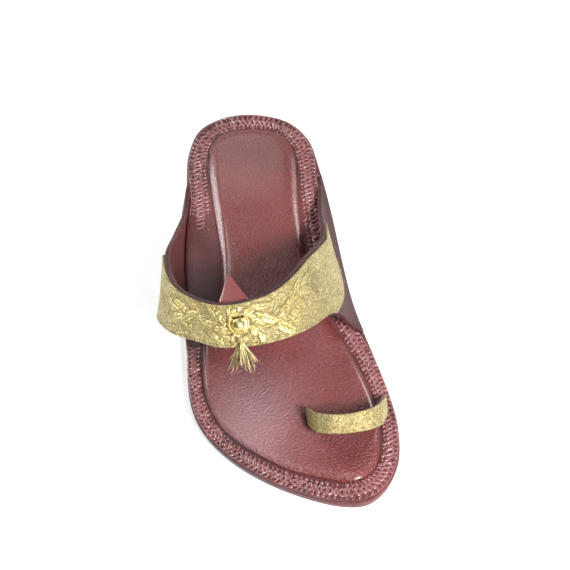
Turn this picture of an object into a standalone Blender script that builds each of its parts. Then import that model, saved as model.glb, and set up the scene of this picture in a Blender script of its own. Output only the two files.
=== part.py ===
"""A toe-ring sandal for the right foot: layered sole, low heel, instep strap, toe loop and tassel.

Metres, +Z up. The floor is z = 0, the toe points to -Y and the medial side is +X.
"""

import functools
import math

import bmesh
import bpy
from mathutils import Vector

# Driving sizes of the sole
LENGTH = 0.250
BALL_WIDTH = 0.097
HEEL_HEIGHT = 0.008
TOE_SPRING = 0.0035
TOP_LIFT = 0.0022
OUTSOLE = 0.0018
OUTSOLE_INSET = 0.0008
MIDSOLE = 0.0018
MIDSOLE_INSET = 0.0004
BORDER = 0.0013
PAD = 0.0032
PAD_SLOPE = 0.0042
EDGE_ROUND = 0.0005
HEEL_INSET = 0.0016
CORNER_ROOM = 0.002
BREAST_DEPTH = 0.008

# Driving sizes of the straps
INSTEP_RISE = 0.051
STRAP_WALL = 0.0024
COVER_WALL = 0.0010
COVER_MARGIN = 0.0012
RING_RISE = 0.020
RING_WALL = 0.0014
RING_COVER_WALL = 0.0009
TONGUE_WIDTH = 0.016
TONGUE_REACH = 0.0155
TONGUE_TUCK = 0.007
TONGUE_WALL = 0.0014
TONGUE_POINT = 0.0006
TONGUE_TILT = 0.15

# Driving sizes of the ornament
PLATE_RADIUS = 0.0053
PLATE_WALL = 0.0008
ROPE_HEIGHT = 0.0011
BEAD_RADIUS = 0.0034
BEAD_HEIGHT = 0.0032
CROWN_BEND = 0.070
KNOT_RADIUS = 0.0017
LOCK_RADIUS = 0.0009
LOCK_CLEAR = 1.4
LOCKS = 9
TASSEL_REACH = 0.009
TASSEL_DROP = 0.010
TASSEL_SPREAD = 0.0068
TASSEL_FAN = 0.14
TASSEL_RAGGED = 0.14

# Clearances
GAP = 0.0003
COVER_GAP = 0.0004
EAR_CLEARANCE = 0.0005
SLOT_CLEARANCE = 0.0006

# Vertices closer than this are one, and how far on a slope is measured, in rows or shares of a strap
WELD = 0.000002
NEARBY = 0.02

# Where the stretches of the sole begin and end, as shares of LENGTH from the heel
SHANK_START = 0.24
HEEL_BREAST = 0.25
BALL_START = 0.64
TOE_START = 0.79
TOE_CURVE = 1.4

# Facets
OUTLINE_SIDES = 96
FINE = 12
SHANK_CUTS = 12
TOE_CUTS = 5
BREAST_SIDES = 10
STRAP_STEPS = 3
STRAP_BANDS = 8
COVER_COLUMNS = 36
RING_STEPS = 2
RING_BANDS = 3
TONGUE_COLUMNS = 6
TONGUE_BANDS = 8
TURNED_SIDES = 24
KNOT_SIDES = 12
SHARP = math.radians(35)

# Sole outline, going round from the back of the heel by the medial side.
# Columns: along (share of LENGTH from the heel), across (share of BALL_WIDTH, medial is +)
OUTLINE = (
    (0.000, 0.000), (0.013, 0.131), (0.042, 0.251), (0.100, 0.336), (0.184, 0.361),
    (0.300, 0.376), (0.420, 0.384), (0.520, 0.397), (0.600, 0.427), (0.680, 0.462),
    (0.760, 0.490), (0.832, 0.495), (0.909, 0.462), (0.964, 0.382), (0.993, 0.268),
    (0.987, 0.142), (0.963, 0.010), (0.933, -0.112), (0.902, -0.213), (0.868, -0.304),
    (0.832, -0.380), (0.795, -0.441), (0.757, -0.484), (0.715, -0.505), (0.660, -0.506),
    (0.590, -0.490), (0.500, -0.480), (0.380, -0.460), (0.280, -0.420), (0.180, -0.365),
    (0.100, -0.333), (0.034, -0.257), (0.005, -0.134),
)

# Foot of the raised pad, in the same columns
PAD_OUTLINE = (
    (0.049, 0.031), (0.062, 0.140), (0.086, 0.209), (0.128, 0.240), (0.182, 0.234),
    (0.260, 0.214), (0.340, 0.202), (0.412, 0.206), (0.492, 0.232), (0.570, 0.270),
    (0.624, 0.318), (0.700, 0.371), (0.772, 0.402), (0.834, 0.402), (0.903, 0.362),
    (0.932, 0.304), (0.943, 0.216), (0.929, 0.097), (0.899, -0.060), (0.867, -0.163),
    (0.823, -0.281), (0.770, -0.376), (0.704, -0.423), (0.636, -0.424), (0.568, -0.397),
    (0.504, -0.325), (0.444, -0.268), (0.364, -0.242), (0.228, -0.238), (0.133, -0.226),
    (0.073, -0.190), (0.049, -0.093),
)

# Edge of the pad, from its foot to its flat top.
# Columns: inset (share of PAD_SLOPE), height (share of PAD)
PAD_SHOULDER = ((0.0, 0.0), (0.02, 0.18), (0.25, 0.56), (0.58, 0.88), (1.0, 1.0))

# Instep strap between its two ears, from the lateral side over the crown to the medial side.
# Columns: rear edge across, along, up; front edge across, along, up.
# Across is a share of BALL_WIDTH, along of LENGTH, up of INSTEP_RISE above the sole's deck.
STRAP = (
    (-0.401, 0.260, 0.090, -0.572, 0.532, 0.198),
    (-0.470, 0.348, 0.303, -0.600, 0.546, 0.361),
    (-0.529, 0.432, 0.555, -0.593, 0.576, 0.450),
    (-0.514, 0.524, 0.767, -0.535, 0.630, 0.622),
    (-0.436, 0.581, 0.884, -0.435, 0.664, 0.698),
    (-0.320, 0.622, 0.981, -0.320, 0.693, 0.737),
    (-0.186, 0.629, 1.000, -0.186, 0.701, 0.747),
    (-0.041, 0.610, 0.967, -0.041, 0.695, 0.727),
    (0.074, 0.565, 0.871, 0.082, 0.674, 0.669),
    (0.181, 0.499, 0.697, 0.174, 0.640, 0.553),
    (0.259, 0.448, 0.512, 0.249, 0.603, 0.413),
    (0.307, 0.396, 0.327, 0.311, 0.585, 0.263),
    (0.322, 0.308, 0.139, 0.365, 0.589, 0.113),
)

# Feet of the two ears along the sole's edge.
# Columns: side, rear end along, front end along, outward lean at the deck (share of BALL_WIDTH)
LATERAL_EAR = (-1, 0.184, 0.524, 0.020)
MEDIAL_EAR = (1, 0.196, 0.596, 0.000)
EAR_COLLAR = 0.0006

# Ends of the gold cover, counted in rows of the strap: four places from its rear to its front edge
COVER_START = (4.0, 3.1, 2.6, 2.5)
COVER_END = (13.6, 13.8, 14.0, 12.6)

# Toe loop, from its foot between the toes to its foot near the medial edge.
# Same columns as the strap, with up a share of RING_RISE.
RING = (
    (0.066, 0.766, 0.200, 0.064, 0.800, 0.190),
    (0.074, 0.784, 0.525, 0.069, 0.820, 0.350),
    (0.103, 0.811, 0.770, 0.098, 0.843, 0.490),
    (0.180, 0.832, 0.970, 0.165, 0.860, 0.650),
    (0.263, 0.836, 0.990, 0.258, 0.866, 0.690),
    (0.340, 0.826, 0.870, 0.340, 0.861, 0.620),
    (0.397, 0.808, 0.670, 0.400, 0.844, 0.450),
    (0.442, 0.780, 0.425, 0.433, 0.816, 0.260),
    (0.452, 0.758, 0.130, 0.447, 0.792, 0.110),
)

# Ends of the loop's gold cover, counted in rows of the loop from the foot between the toes
RING_COVER_ENDS = (1.1, 9.5)

# Places on the strap: row count along it, and share from its rear to its front edge
CROWN_ROW = 8
TONGUE_ROW = 7.65
PLATE_PLACE = (7.75, 0.48)
KNOT_SHARE = 0.84

# Turned profiles from the axis at the top, down the outer side, to the axis at the bottom.
# Columns: radius (share), height in PLATE_WALL, height in ROPE_HEIGHT
PLATE_PROFILE = (
    (0.00, 1, 0.0), (0.72, 1, 0.0), (0.78, 1, 0.7), (0.88, 1, 1.0),
    (0.97, 1, 0.7), (1.00, 1, 0.0), (0.96, 0, 0.0), (0.00, 0, 0.0),
)

# Columns: radius and height (shares of the bead's)
BEAD_PROFILE = ((0.0, 1.0), (0.38, 0.93), (0.7, 0.74), (0.92, 0.44), (1.0, 0.15), (0.94, 0.0), (0.0, 0.0))

# Thickness of a tassel lock in the knot and over the strap's edge, as shares of its radius
LOCK_START = (0.8, 0.9)

# The lock beyond the strap's edge. Columns: reach, drop and thickness (shares)
LOCK_STAGES = ((0.35, 0.28, 1.0), (0.7, 0.6, 0.75), (1.0, 1.0, 0.3))

# Finishes: colour, roughness, metallic
FINISHES = {
    "maroon leather": ((0.26, 0.055, 0.060), 0.38, 0.0),
    "embossed leather": ((0.24, 0.050, 0.055), 0.45, 0.0),
    "lining leather": ((0.20, 0.050, 0.050), 0.50, 0.0),
    "covered board": ((0.18, 0.040, 0.045), 0.50, 0.0),
    "sole rubber": ((0.30, 0.160, 0.120), 0.75, 0.0),
    "gold fabric": ((0.62, 0.470, 0.160), 0.42, 0.6),
    "gold metal": ((0.85, 0.620, 0.180), 0.22, 1.0),
    "gold thread": ((0.66, 0.470, 0.120), 0.40, 0.5),
}

# Heights of the layers above the sole's underside
MIDSOLE_BASE = OUTSOLE + GAP
BORDER_BASE = MIDSOLE_BASE + MIDSOLE + GAP
DECK = BORDER_BASE + BORDER
PAD_BASE = DECK + GAP
EAR_RECESS = STRAP_WALL + EAR_CLEARANCE

# Height above the strap's leather of a piece that stands on its gold cover
ON_COVER = COVER_GAP + COVER_WALL + GAP


def curve_point(before, start, end, after, share):
    """A point between start and end on the smooth curve through four points."""
    squared = share * share
    cubed = squared * share
    return (
        start * 2
        + (end - before) * share
        + (before * 2 - start * 5 + end * 4 - after) * squared
        + (start * 3 - before - end * 3 + after) * cubed
    ) / 2


def along_open(points, place):
    """The smooth curve through points, at a place counted in points."""
    last = len(points) - 1
    first = min(max(math.floor(place), 0), last - 1)
    before = points[first - 1] if first > 0 else points[0] * 2 - points[1]
    after = points[first + 2] if first + 2 <= last else points[last] * 2 - points[last - 1]
    return curve_point(before, points[first], points[first + 1], after, place - first)


def along_strap(points, place):
    """The same curve for a strap, whose first and last stretches are straight feet."""
    last = len(points) - 1
    if place <= 1:
        return points[0].lerp(points[1], place)
    if place >= last - 1:
        return points[last - 1].lerp(points[last], place - last + 1)
    return along_open(points[1:-1], place - 1)


def closed_plan(table, sides):
    """Evenly spaced points on the closed smooth curve through a table of along and across shares."""
    knots = [Vector((BALL_WIDTH * across, LENGTH * (0.5 - along))) for along, across in table]
    fine = []
    for index in range(len(knots)):
        around = [knots[(index + step) % len(knots)] for step in (-1, 0, 1, 2)]
        fine += [curve_point(*around, part / FINE) for part in range(FINE)]
    fine.append(fine[0])
    travelled = [0.0]
    for first, second in zip(fine, fine[1:]):
        travelled.append(travelled[-1] + (second - first).length)
    plan = []
    cursor = 0
    for side in range(sides):
        target = travelled[-1] * side / sides
        while travelled[cursor + 1] < target:
            cursor += 1
        share = (target - travelled[cursor]) / (travelled[cursor + 1] - travelled[cursor])
        plan.append(fine[cursor].lerp(fine[cursor + 1], share))
    return plan


def inset(plan, amount):
    """The plan moved inwards. Its points run clockwise from above, so inwards is to their right."""
    moved = []
    for index, point in enumerate(plan):
        arriving = (point - plan[index - 1]).normalized()
        leaving = (plan[(index + 1) % len(plan)] - point).normalized()
        inwards = Vector((arriving.y + leaving.y, -arriving.x - leaving.x)).normalized()
        facing = inwards.dot(Vector((leaving.y, -leaving.x)))
        moved.append(point + inwards * amount / facing)
    return moved


def lift(y):
    """Height of the sole's underside: the heel's, down the shank to the flat ball, then the toe spring."""
    along = 0.5 - y / LENGTH
    climb = min(max((BALL_START - along) / (BALL_START - SHANK_START), 0), 1)
    toe = max((along - TOE_START) / (1 - TOE_START), 0) ** TOE_CURVE
    return HEEL_HEIGHT * climb * climb * (3 - 2 * climb) + TOE_SPRING * toe


def deck(y):
    """Height of the border's top, from which the straps' heights are counted."""
    return lift(y) + DECK


SOLE_PLAN = closed_plan(OUTLINE, OUTLINE_SIDES)


def edge_across(y, side):
    """The sole outline's x at this y, on the medial (1) or lateral (-1) side."""
    found = []
    for index, point in enumerate(SOLE_PLAN):
        before = SOLE_PLAN[index - 1]
        if (point.y - y) * (before.y - y) <= 0 and point.y != before.y:
            found.append(before.lerp(point, (y - before.y) / (point.y - before.y)).x * side)
    return max(found) * side


def recessed_plan():
    """The sole outline with a notch on each side, where an ear stands against the layers."""
    plan = []
    for index, point in enumerate(SOLE_PLAN):
        before = SOLE_PLAN[index - 1]
        side, rear, front, _ = MEDIAL_EAR if point.x > 0 else LATERAL_EAR
        rear_end = LENGTH * (0.5 - rear) + EAR_CLEARANCE
        front_end = LENGTH * (0.5 - front) - EAR_CLEARANCE
        recess = Vector((side * EAR_RECESS, 0))
        inside = front_end < point.y < rear_end
        for end in (rear_end, front_end):
            if (before.y - end) * (point.y - end) < 0:
                corner = before.lerp(point, (end - before.y) / (point.y - before.y))
                plan += [corner, corner - recess] if inside else [corner - recess, corner]
        if min(abs(point.y - rear_end), abs(point.y - front_end)) > CORNER_ROOM:
            plan.append(point - recess if inside else point)
    return plan


def heel_plan():
    """The back of the sole outline, closed by a breast that curves towards the heel."""
    breast = LENGTH * (0.5 - HEEL_BREAST)
    outline = inset(SOLE_PLAN, HEEL_INSET)
    medial = Vector((edge_across(breast, 1) - HEEL_INSET, breast))
    lateral = Vector((edge_across(breast, -1) + HEEL_INSET, breast))
    half = len(outline) // 2
    plan = [point for point in outline[:half] if point.y > breast + CORNER_ROOM]
    for side in range(BREAST_SIDES + 1):
        share = side / BREAST_SIDES
        bow = BREAST_DEPTH * 4 * share * (1 - share)
        plan.append(medial.lerp(lateral, share) + Vector((0, bow)))
    return plan + [point for point in outline[half:] if point.y > breast + CORNER_ROOM]


def finish(mesh, material):
    mesh.materials.append(bpy.data.materials[material])
    mesh.shade_smooth()
    mesh.set_sharp_from_angle(angle=SHARP)


def new_object(name, mesh, material):
    obj = bpy.data.objects.new(name, mesh)
    finish(mesh, material)
    bpy.data.collections["sandal"].objects.link(obj)
    obj.parent = bpy.data.objects["sandal_frame"]
    return obj


def layer(name, rings, material, bent=True):
    """A sole layer through rings of (plan, height), bottom to top, made flat and then bent to the sole."""
    bm = bmesh.new()
    loops = [[bm.verts.new((*point, height)) for point in plan] for plan, height in rings]
    for lower, upper in zip(loops, loops[1:]):
        for index in range(len(lower)):
            after = (index + 1) % len(lower)
            bm.faces.new((lower[index], upper[index], upper[after], lower[after]))
    bm.faces.new(loops[0])
    bm.faces.new(loops[-1][::-1])
    if bent:
        shank = (BALL_START - SHANK_START) / SHANK_CUTS
        toe = (1 - TOE_START) / TOE_CUTS
        stations = [SHANK_START + shank * cut for cut in range(SHANK_CUTS + 1)]
        stations += [TOE_START + toe * cut for cut in range(TOE_CUTS)]
        for along in stations:
            everything = bm.verts[:] + bm.edges[:] + bm.faces[:]
            place = (0, LENGTH * (0.5 - along), 0)
            bmesh.ops.bisect_plane(bm, geom=everything, plane_co=place, plane_no=(0, 1, 0), dist=WELD)
        for vert in bm.verts:
            vert.co.z += lift(vert.co.y)
    mesh = bpy.data.meshes.new(name)
    bm.to_mesh(mesh)
    bm.free()
    return new_object(name, mesh, material)


def rounded(plan, low, high, bevel):
    """The rings of a slab with rounded edges."""
    smaller = inset(plan, bevel)
    return [(smaller, low), (plan, low + bevel), (plan, high - bevel), (smaller, high)]


def make_sole():
    heel = heel_plan()
    top_lift = [(inset(heel, GAP), 0), (heel, GAP), (heel, TOP_LIFT)]
    layer("heel_top_lift", top_lift, "sole rubber", bent=False)
    layer("heel_block", [(heel, TOP_LIFT + GAP), (heel, HEEL_HEIGHT - GAP)], "covered board", bent=False)
    outsole = inset(SOLE_PLAN, OUTSOLE_INSET)
    layer("outsole", rounded(outsole, 0, OUTSOLE, EDGE_ROUND), "sole rubber")
    notched = recessed_plan()
    board = inset(notched, MIDSOLE_INSET)
    layer("midsole", rounded(board, MIDSOLE_BASE, MIDSOLE_BASE + MIDSOLE, EDGE_ROUND), "covered board")
    border = layer("insole_border", rounded(notched, BORDER_BASE, DECK, EDGE_ROUND), "embossed leather")
    foot = closed_plan(PAD_OUTLINE, OUTLINE_SIDES)
    shoulder = [(inset(foot, PAD_SLOPE * inward), PAD_BASE + PAD * up) for inward, up in PAD_SHOULDER]
    pad = layer("footbed_pad", shoulder, "maroon leather")
    return border, pad


def table_point(row, share, rise):
    """The point of a strap's row at this share of the way from its rear to its front edge."""
    ends = []
    for across, along, up in (row[:3], row[3:]):
        y = LENGTH * (0.5 - along)
        ends.append(Vector((BALL_WIDTH * across, y, deck(y) + rise * up)))
    return ends[0].lerp(ends[1], share)


def ear_point(ear, share, height, leaning):
    side, rear, front, lean = ear
    y = LENGTH * (0.5 - rear - (front - rear) * share)
    outwards = side * lean * BALL_WIDTH * share * leaning
    return Vector((edge_across(y, side) + outwards, y, lift(y) + height))


@functools.lru_cache(maxsize=None)
def strap_rows(share):
    """Points round the strap at this share of its width: foot, collar, table rows, collar and foot."""
    collar = DECK + EAR_COLLAR
    rows = [ear_point(LATERAL_EAR, share, MIDSOLE_BASE, 0), ear_point(LATERAL_EAR, share, collar, 1)]
    rows += [table_point(row, share, INSTEP_RISE) for row in STRAP]
    rows += [ear_point(MEDIAL_EAR, share, collar, 1), ear_point(MEDIAL_EAR, share, MIDSOLE_BASE, 0)]
    return rows


@functools.lru_cache(maxsize=None)
def ring_rows(share):
    """Points round the toe loop at this share of its width, with a foot in the slot below each end."""
    rows = [table_point(row, share, RING_RISE) for row in RING]
    feet = [Vector((end.x, end.y, lift(end.y) + BORDER_BASE)) for end in (rows[0], rows[-1])]
    return [feet[0], *rows, feet[1]]


def surface(rows, place, share):
    """A point of a strap's outer face, its outward normal, and the way from the rear to the front edge."""
    line = rows(share)
    point = along_strap(line, place)
    behind = along_strap(line, max(place - NEARBY, 0))
    beyond = along_strap(line, min(place + NEARBY, len(line) - 1))
    rearward = along_strap(rows(max(share - NEARBY, 0.0)), place)
    forward = along_strap(rows(min(share + NEARBY, 1.0)), place)
    normal = (forward - rearward).cross(beyond - behind).normalized()
    forwards = along_strap(rows(1.0), place) - along_strap(rows(0.0), place)
    return point, normal, forwards


def offset_point(rows, place, share, outwards):
    point, normal, _ = surface(rows, place, share)
    return point + normal * outwards


def shell(name, grid, wall, side, material):
    """A leather piece: a grid of points, front edge last, thickened outwards (side 1) or inwards (-1)."""
    mesh = bpy.data.meshes.new(name)
    width = len(grid[0])
    corners = [point for column in grid for point in column]
    faces = []
    for column in range(len(grid) - 1):
        for band in range(width - 1):
            first = column * width + band
            faces.append((first, first + 1, first + width + 1, first + width))
    mesh.from_pydata(corners, [], faces)
    obj = new_object(name, mesh, material)
    solid = obj.modifiers.new("wall", "SOLIDIFY")
    solid.thickness = wall
    solid.offset = side
    solid.use_even_offset = True
    return obj


def make_instep_strap():
    columns = (len(STRAP) + 3) * STRAP_STEPS
    places = [column / STRAP_STEPS for column in range(columns + 1)]
    shares = [band / STRAP_BANDS for band in range(STRAP_BANDS + 1)]
    grid = [[along_strap(strap_rows(share), place) for share in shares] for place in places]
    shell("instep_strap", grid, STRAP_WALL, -1, "maroon leather")


def cover_end(ends, share):
    """The cover's end, in rows of the strap, at this share of the strap's width."""
    return along_open([Vector((end, end)) for end in ends], share * (len(ends) - 1)).x


def make_strap_cover():
    crown_width = (strap_rows(0.0)[CROWN_ROW] - strap_rows(1.0)[CROWN_ROW]).length
    rear = COVER_MARGIN / crown_width
    grid = []
    for column in range(COVER_COLUMNS + 1):
        points = []
        for band in range(STRAP_BANDS + 1):
            share = rear + (1 - rear) * band / STRAP_BANDS
            start = cover_end(COVER_START, share)
            place = start + (cover_end(COVER_END, share) - start) * column / COVER_COLUMNS
            points.append(offset_point(strap_rows, place, share, COVER_GAP))
        grid.append(points)
    shell("strap_cover", grid, COVER_WALL, 1, "gold fabric")


def make_toe_ring():
    last = len(RING) + 1
    shares = [band / RING_BANDS for band in range(RING_BANDS + 1)]
    places = [column / RING_STEPS for column in range(last * RING_STEPS + 1)]
    grid = [[along_strap(ring_rows(share), place) for share in shares] for place in places]
    shell("toe_ring", grid, RING_WALL, -1, "lining leather")
    start, end = RING_COVER_ENDS
    count = last * RING_STEPS
    places = [start + (end - start) * column / count for column in range(count + 1)]
    grid = [[offset_point(ring_rows, place, share, COVER_GAP) for share in shares] for place in places]
    shell("toe_ring_cover", grid, RING_COVER_WALL, 1, "gold fabric")


def cut_ring_slots(border, pad):
    """Slots through the pad and the border for the toe loop's two feet."""
    for name, place in (("slot_between_toes", 0.0), ("slot_medial", len(RING) + 1.0)):
        middle, normal, forwards = surface(ring_rows, place, 0.5)
        centre = middle - normal * RING_WALL / 2
        bpy.ops.mesh.primitive_cube_add(size=1, location=(0, 0, 0))
        cutter = bpy.context.object
        cutter.name = name
        cutter.parent = bpy.data.objects["sandal_frame"]
        depth = 2 * (BORDER + PAD)
        size = (RING_WALL + 2 * SLOT_CLEARANCE, forwards.length + 2 * SLOT_CLEARANCE, depth + 4 * GAP)
        turn = math.atan2(forwards.x, -forwards.y)
        for vert in cutter.data.vertices:
            vert.co = Vector(size) * vert.co
        cutter.location = (centre.x, centre.y, lift(centre.y) + BORDER_BASE - 2 * GAP + depth / 2)
        cutter.rotation_euler = (0, 0, turn)
        cutter.hide_render = True
        cutter.display_type = "WIRE"
        for owner in list(cutter.users_collection):
            owner.objects.unlink(cutter)
        bpy.data.collections["cutters"].objects.link(cutter)
        for piece in (border, pad):
            slot = piece.modifiers.new(name, "BOOLEAN")
            slot.operation = "DIFFERENCE"
            slot.solver = "EXACT"
            slot.object = cutter


def make_tongue():
    """The pointed tab: tucked under the crown's rear edge and reaching back, narrowing to its point."""
    _, _, forwards = surface(strap_rows, TONGUE_ROW, 0.0)
    rear = strap_rows(0.0)
    row_length = (along_strap(rear, TONGUE_ROW + 0.5) - along_strap(rear, TONGUE_ROW - 0.5)).length
    backwards = Vector((0, -forwards.y, -forwards.z * TONGUE_TILT)).normalized()
    under = -(STRAP_WALL + GAP)
    grid = []
    for column in range(TONGUE_COLUMNS + 1):
        across = 2 * column / TONGUE_COLUMNS - 1
        points = []
        for band in range(TONGUE_BANDS + 1):
            reach = TONGUE_REACH - (TONGUE_REACH + TONGUE_TUCK) * band / TONGUE_BANDS
            narrowing = 1 - max(reach, 0) / TONGUE_REACH
            half = TONGUE_POINT + (TONGUE_WIDTH / 2 - TONGUE_POINT) * narrowing
            place = TONGUE_ROW + across * half / row_length
            share = max(-reach, 0) / forwards.length
            points.append(offset_point(strap_rows, place, share, under) + backwards * max(reach, 0))
        grid.append(points)
    shell("tongue", grid, TONGUE_WALL, -1, "maroon leather")


def turned(name, profile, centre, axis, material):
    """A round piece spun about its own Z from a profile of (radius, height), and stood along axis."""
    mesh = bpy.data.meshes.new(name)
    edges = [(index, index + 1) for index in range(len(profile) - 1)]
    mesh.from_pydata([(radius, 0, height) for radius, height in profile], edges, [])
    obj = new_object(name, mesh, material)
    obj.location = centre
    obj.rotation_euler = axis.to_track_quat("Z", "Y").to_euler()
    spin = obj.modifiers.new("spin", "SCREW")
    spin.steps = TURNED_SIDES
    spin.render_steps = TURNED_SIDES
    spin.use_merge_vertices = True
    spin.merge_threshold = WELD
    return obj


def make_medallion():
    row, share = PLATE_PLACE
    point, normal, _ = surface(strap_rows, row, share)
    base = point + normal * (ON_COVER + PLATE_RADIUS * PLATE_RADIUS / CROWN_BEND)
    plate = []
    for out, wall, rope in PLATE_PROFILE:
        plate.append((PLATE_RADIUS * out, PLATE_WALL * wall + ROPE_HEIGHT * rope))
    turned("medallion_plate", plate, base, normal, "gold metal")
    bead = [(BEAD_RADIUS * out, BEAD_HEIGHT * up) for out, up in BEAD_PROFILE]
    turned("medallion_bead", bead, base + normal * (PLATE_WALL + GAP), normal, "gold metal")


def lock_route(number, knot):
    """Centre line of a tassel lock: out of the knot, over the strap's front edge, then forward and down."""
    fan = 2 * number / (LOCKS - 1) - 1
    long = 1 - TASSEL_RAGGED * (1 - math.cos(5 * number))
    edge, normal, forwards = surface(strap_rows, PLATE_PLACE[0] + fan * TASSEL_FAN, 1.0)
    over = edge + normal * (ON_COVER + LOCK_RADIUS * LOCK_CLEAR)
    ahead = Vector((forwards.x, forwards.y, 0)).normalized()
    route = [knot, over]
    for stage, fall, _ in LOCK_STAGES:
        drift = ahead * TASSEL_REACH * stage * long + Vector((fan * TASSEL_SPREAD * stage, 0, 0))
        route.append(over + drift - Vector((0, 0, TASSEL_DROP * fall * long)))
    return route


def lock_mesh(number, route):
    """One lock as a tapering tube, with its caps welded on."""
    curve = bpy.data.curves.new(f"lock_{number}", "CURVE")
    curve.dimensions = "3D"
    curve.bevel_depth = LOCK_RADIUS
    curve.bevel_resolution = 1
    curve.use_fill_caps = True
    line = curve.splines.new("POLY")
    line.points.add(len(route) - 1)
    widths = [*LOCK_START, *[width for _, _, width in LOCK_STAGES]]
    for point, place, width in zip(line.points, route, widths):
        point.co = (*place, 1)
        point.radius = width
    tube = bpy.data.objects.new(f"lock_{number}", curve)
    bpy.data.collections["cutters"].objects.link(tube)
    graph = bpy.context.evaluated_depsgraph_get()
    mesh = bpy.data.meshes.new_from_object(tube.evaluated_get(graph))
    bpy.data.objects.remove(tube)
    bm = bmesh.new()
    bm.from_mesh(mesh)
    bmesh.ops.remove_doubles(bm, verts=bm.verts, dist=WELD)
    bmesh.ops.recalc_face_normals(bm, faces=bm.faces)
    bm.to_mesh(mesh)
    bm.free()
    return mesh


def make_tassel():
    knot = offset_point(strap_rows, PLATE_PLACE[0], KNOT_SHARE, ON_COVER + KNOT_RADIUS)
    bm = bmesh.new()
    bmesh.ops.create_uvsphere(bm, u_segments=KNOT_SIDES, v_segments=KNOT_SIDES // 2, radius=KNOT_RADIUS)
    bmesh.ops.translate(bm, verts=bm.verts, vec=knot)
    mesh = bpy.data.meshes.new("tassel")
    bm.to_mesh(mesh)
    bm.free()
    tassel = new_object("tassel", mesh, "gold thread")
    for number in range(LOCKS):
        lock = bpy.data.objects.new(f"lock_{number}", lock_mesh(number, lock_route(number, knot)))
        lock.hide_render = True
        lock.display_type = "WIRE"
        lock.parent = bpy.data.objects["sandal_frame"]
        bpy.data.collections["cutters"].objects.link(lock)
        join = tassel.modifiers.new(lock.name, "BOOLEAN")
        join.operation = "UNION"
        join.solver = "EXACT"
        join.object = lock


def clear_scene():
    for obj in list(bpy.data.objects):
        bpy.data.objects.remove(obj)
    for name in ("sandal", "cutters"):
        bpy.context.scene.collection.children.link(bpy.data.collections.new(name))
    bpy.data.collections["cutters"].hide_render = True


def make_frame():
    """An empty that holds the sandal with the middle of its box over the origin."""
    cover = COVER_GAP + COVER_WALL
    places = [1 + index / 4 for index in range(4 * len(STRAP))]
    reach = [offset_point(strap_rows, place, share, cover).x for place in places for share in (0.5, 1.0)]
    sole = [point.x for point in SOLE_PLAN]
    ends = [point.y for point in SOLE_PLAN]
    frame = bpy.data.objects.new("sandal_frame", None)
    bpy.data.collections["sandal"].objects.link(frame)
    widest = (min(reach + sole), max(reach + sole))
    frame.location = (-sum(widest) / 2, -(min(ends) + max(ends)) / 2, 0)


def make_finishes():
    for name, (colour, roughness, metallic) in FINISHES.items():
        material = bpy.data.materials.new(name)
        material.use_nodes = True
        shader = material.node_tree.nodes["Principled BSDF"]
        shader.inputs["Base Color"].default_value = (*colour, 1)
        shader.inputs["Roughness"].default_value = roughness
        shader.inputs["Metallic"].default_value = metallic


clear_scene()
make_finishes()
make_frame()
border_leather, raised_pad = make_sole()
make_instep_strap()
make_strap_cover()
make_toe_ring()
cut_ring_slots(border_leather, raised_pad)
make_tongue()
make_medallion()
make_tassel()
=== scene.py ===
# %% [markdown]
# # A toe-ring sandal, dressed around its CAD frame
#
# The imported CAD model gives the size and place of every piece. This notebook gives the pieces their
# look: pebbled leather, an embossed rim, gold brocade, a rope-edged medallion and a thread tassel.
# Each step first says what the piece is on the real sandal, and why it is made the way it is.

# %% The frame
import math
import random

import bmesh
import bpy
import numpy as np
from mathutils import Matrix, Vector


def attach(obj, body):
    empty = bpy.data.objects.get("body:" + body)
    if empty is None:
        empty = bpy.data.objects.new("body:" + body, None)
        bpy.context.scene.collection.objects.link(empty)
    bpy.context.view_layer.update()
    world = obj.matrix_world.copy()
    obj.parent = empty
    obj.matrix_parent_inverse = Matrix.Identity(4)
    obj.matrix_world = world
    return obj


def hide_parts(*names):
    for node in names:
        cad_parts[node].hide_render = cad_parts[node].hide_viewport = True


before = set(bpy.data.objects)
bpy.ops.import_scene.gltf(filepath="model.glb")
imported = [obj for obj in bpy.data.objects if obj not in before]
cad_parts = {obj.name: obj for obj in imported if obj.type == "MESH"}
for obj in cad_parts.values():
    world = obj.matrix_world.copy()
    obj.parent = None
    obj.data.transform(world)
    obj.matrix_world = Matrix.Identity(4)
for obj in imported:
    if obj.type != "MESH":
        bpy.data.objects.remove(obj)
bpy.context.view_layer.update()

# %% [markdown]
# ## Camera, floor and light
#
# The sandal was photographed from the toe end, about 53 degrees above the floor, with a long lens.
# The camera's three directions are written out, because they also hold its slight roll.
# One strong lamp stands at the toe end on the medial side, so the strap's shadow falls towards the
# heel, and a weak wide one overhead softens it. Two panels behind the heel, one on each side, make the
# bright streaks on the pad's shoulders. Two weak ones lay a haze on the ball and on the heel.

# %% Camera
PHOTO = 570
FOCAL_PIXELS = 2013.97
CENTRE_BELOW = 25  # pixels from the picture's middle down to the lens's axis
CAMERA_PLACE = Vector((-0.0429, -0.6114, 0.8146))
CAMERA_RIGHT = Vector((0.98891, -0.14244, -0.04198))
CAMERA_UP = Vector((0.13893, 0.78758, 0.60035))
CAMERA_BACK = Vector((-0.05245, -0.59952, 0.79864))

camera_data = bpy.data.cameras.new("camera")
camera_data.sensor_width = 36
camera_data.lens = FOCAL_PIXELS / PHOTO * camera_data.sensor_width
camera_data.shift_y = CENTRE_BELOW / PHOTO
camera_data.clip_start = 0.01
camera = bpy.data.objects.new("camera", camera_data)
turn = Matrix((CAMERA_RIGHT, CAMERA_UP, CAMERA_BACK)).transposed()
camera.matrix_world = Matrix.Translation(CAMERA_PLACE) @ turn.to_4x4()
bpy.context.collection.objects.link(camera)
bpy.context.scene.camera = camera

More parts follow.
